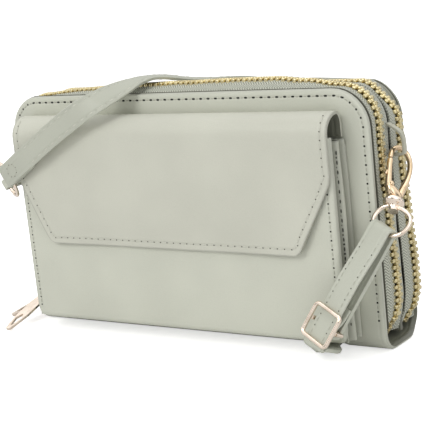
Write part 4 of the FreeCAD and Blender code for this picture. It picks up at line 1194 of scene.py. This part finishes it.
def onClasp(x, y, z):
    return claspTop + (hookX * x + hookY * y + claspZ * z) * mm


def claspHook():
    bm = bmesh.new()
    points = splinePoints([onClasp(0, y, z) for y, z in hookPath], 7)
    sizes = []
    for u in [i / (len(points) - 1) for i in range(len(points))]:
        flat = 1.55 - 0.45 * smoothStep(0.0, 0.35, u)
        wide = 1.5 - 0.25 * smoothStep(0.1, 0.5, u)
        end = 1.0 if u < 0.96 else sqrt(max(0.03, 1 - ((u - 0.96) / 0.04) ** 2))
        sizes.append((flat * end, wide * end))
    sweepTube(bm, points, sizes, hookX)
    rings = []
    for z, left, right, thick in shieldRows:
        middle, half = (left + right) / 2, (right - left) / 2
        shape = [(signedPower(cos(u), 0.62), signedPower(sin(u), 0.62)) for u in fullTurn(28)]
        rings.append([onClasp(thick * b, middle + half * a, z) for a, b in shape])
    loft(bm, rings)
    toObject("claspHookCast", bm, [claspPlate], "plated_metal", "right_clasp", ["clasp_hook"], "cast")


def claspPin():
    bm = bmesh.new()
    ends = [onClasp(x, -3.7, -20.9) for x in (-2.35, -2.2, 2.2, 2.35)]
    sweepTube(bm, ends, [(r, r) for r in (0.7, 0.95, 0.95, 0.7)], hookY, 16)
    toObject("claspGatePin", bm, [claspPlate], "plated_metal", "right_clasp", ["clasp_gate_pin"], "cast")


def claspGate():
    bm = bmesh.new()
    points = splinePoints([onClasp(0, y, z) for y, z in gatePath], 7)
    n = len(points) - 1
    sweepTube(bm, points, [(1.5 - 0.3 * i / n, 1.55 - 0.25 * i / n) for i in range(n + 1)], hookX)
    knob = Matrix.Translation(onClasp(0, -6.4, -15.6)) @ Matrix((hookX, hookY, claspZ)).transposed().to_4x4()
    bmesh.ops.create_uvsphere(bm, u_segments=14, v_segments=9, radius=1.0,
                              matrix=knob @ Matrix.Diagonal((1.1 * mm, 0.6 * mm, 1.3 * mm, 1)))
    toObject("claspGateLever", bm, [claspPlate], "plated_metal", "right_gate", ["clasp_gate"], "cast")


def ringWire(bm, centre, along, down):
    points = []
    for u in fullTurn(64):
        a, b = ringHalf * signedPower(cos(u), 0.84), ringReach * signedPower(sin(u), 0.84)
        points.append(centre + (along * a + down * b) * mm)
    sweepTube(bm, points, [(ringRadius, ringRadius)] * 64, along.cross(down).normalized(), 12, closed=True)


def leftRing():
    bm = bmesh.new()
    ringWire(bm, leftBar + leftAim * ringReach * mm, leftSide, leftAim)
    toObject("leftRingWire", bm, [champagne], "plated_metal", "left_ring", ["left_strap_ring"], "cast")


def claspRing():
    bm = bmesh.new()
    ringWire(bm, ringCentre, ringAlong, ringDown)
    loft(bm, [[onClasp(r * 0.8 * cos(u), r * sin(u), z) for u in fullTurn(32)] for z, r in collarRows])
    toObject("claspSwivelRing", bm, [champagne], "plated_metal", "right_ring", ["clasp_swivel_ring"], "cast")


for make in (claspHook, claspPin, claspGate, claspRing, leftRing):
    make()

# hardware: solids kept, edges softened by these widths and plated
softEdges = {"front_zip_slider": 0.22, "rear_zip_slider": 0.22, "front_zip_pull": 0.3, "rear_zip_pull": 0.3,
             "clasp_swivel_post": 0.22, "buckle_frame": 0.22, "buckle_middle_bar": 0.22}
for name, width in softEdges.items():
    soften = nodes[name].modifiers.new("soften", "BEVEL")
    soften.width = width * mm
    soften.segments = 3
    soften.limit_method = "ANGLE"
    soften.angle_limit = radians(40)
    soften.harden_normals = False
for name in (*softEdges, "pocket_magnet", "flap_magnet"):
    nodes[name].data.materials.clear()
    nodes[name].data.materials.append(champagne if name in softEdges else magnetSteel)
print("hardware done")


# stage: white floor that keeps the shadow, soft lights, camera at the photograph's angle
stageSizes = {"floor": 9.0, "floorGlow": 0.60, "skyGlow": 0.62, "skySeen": 1.4, "flagLow": 0.16, "flagHigh": 1.25,
              "key": 5.8, "side": 1.7, "top": 3.3}
cameraSizes = {"lens": 113.76, "sensor": 36.0, "clip": 0.01, "place": (361.86, -507.84, 183.6),
               "right": (0.8228, 0.5585, -0.1054), "above": (-0.0277, 0.2247, 0.974),
               "behind": (0.5677, -0.7985, 0.2004)}


def makeFloor():
    mat, tree, shader = newMaterial("floorPaper")
    seen = addNode(tree, "LightPath").outputs["Is Camera Ray"]
    feed(tree, shader, {"Base Color": (0.86, 0.86, 0.86, 1), "Roughness": 0.9, "Emission Color": (1, 1, 1, 1),
                        "Emission Strength": mathNode(tree, "MULTIPLY", seen, stageSizes["floorGlow"])})
    bm = bmesh.new()
    bmesh.ops.create_grid(bm, x_segments=2, y_segments=2, size=stageSizes["floor"])
    return toObject("floorSheet", bm, [mat])


def makeSky():
    # plain white to the camera; metal mirrors light and dark bands
    s = stageSizes
    world = bpy.data.worlds.new("studio")
    world.use_nodes = True
    tree = world.node_tree
    path = addNode(tree, "LightPath").outputs
    glow = mathNode(tree, "MULTIPLY", path["Is Camera Ray"], s["skySeen"] - s["skyGlow"])
    x, y, z = addNode(tree, "SeparateXYZ", {0: addNode(tree, "TexCoord").outputs["Generated"]}).outputs
    band = mathNode(tree, "SINE", mathNode(tree, "ADD", weighted(tree, x, 8.0, z, 5.0), 1.4))
    boxes = rampNode(tree, band, -0.4, 0.5, s["flagLow"], s["flagHigh"])
    boxes = mathNode(tree, "MAXIMUM", boxes, rampNode(tree, z, 0.2, 0.5, 0.0, s["flagHigh"]))
    mirror = mathNode(tree, "MULTIPLY", path["Is Glossy Ray"], mathNode(tree, "SUBTRACT", boxes, s["skyGlow"]))
    strength = mathNode(tree, "ADD", mathNode(tree, "ADD", glow, mirror), s["skyGlow"])
    feed(tree, tree.nodes["Background"], {0: (1, 1, 1, 1), 1: strength})
    return world


def areaLight(name, place, target, size, power):
    data = bpy.data.lights.new(name, "AREA")
    data.shape = "RECTANGLE"
    data.size = data.size_y = size
    data.energy = power
    obj = bpy.data.objects.new(name, data)
    obj.location = place
    obj.rotation_euler = (Vector(target) - Vector(place)).to_track_quat("-Z", "Y").to_euler()
    bpy.context.scene.collection.objects.link(obj)


def makeCamera():
    s = cameraSizes
    camera = bpy.data.cameras.new("camera")
    camera.lens, camera.sensor_width, camera.clip_start = s["lens"], s["sensor"], s["clip"]
    obj = bpy.data.objects.new("camera", camera)
    turn = Matrix([unit(*s[way]) for way in ("right", "above", "behind")]).transposed().to_4x4()
    obj.matrix_world = Matrix.Translation(pt(*s["place"])) @ turn
    bpy.context.scene.collection.objects.link(obj)
    return obj


makeFloor()
bpy.context.scene.world = makeSky()
areaLight("keyLight", (-0.18, -1.12, 0.85), (0, 0, 0.05), 0.55, stageSizes["key"])
areaLight("sideLight", (1.0, -0.3, 0.5), (0, 0, 0.06), 0.7, stageSizes["side"])
areaLight("topLight", (0.1, 0.2, 1.2), (0, 0, 0.05), 1.2, stageSizes["top"])
bpy.context.scene.camera = makeCamera()
bpy.context.scene.view_settings.view_transform = "Standard"
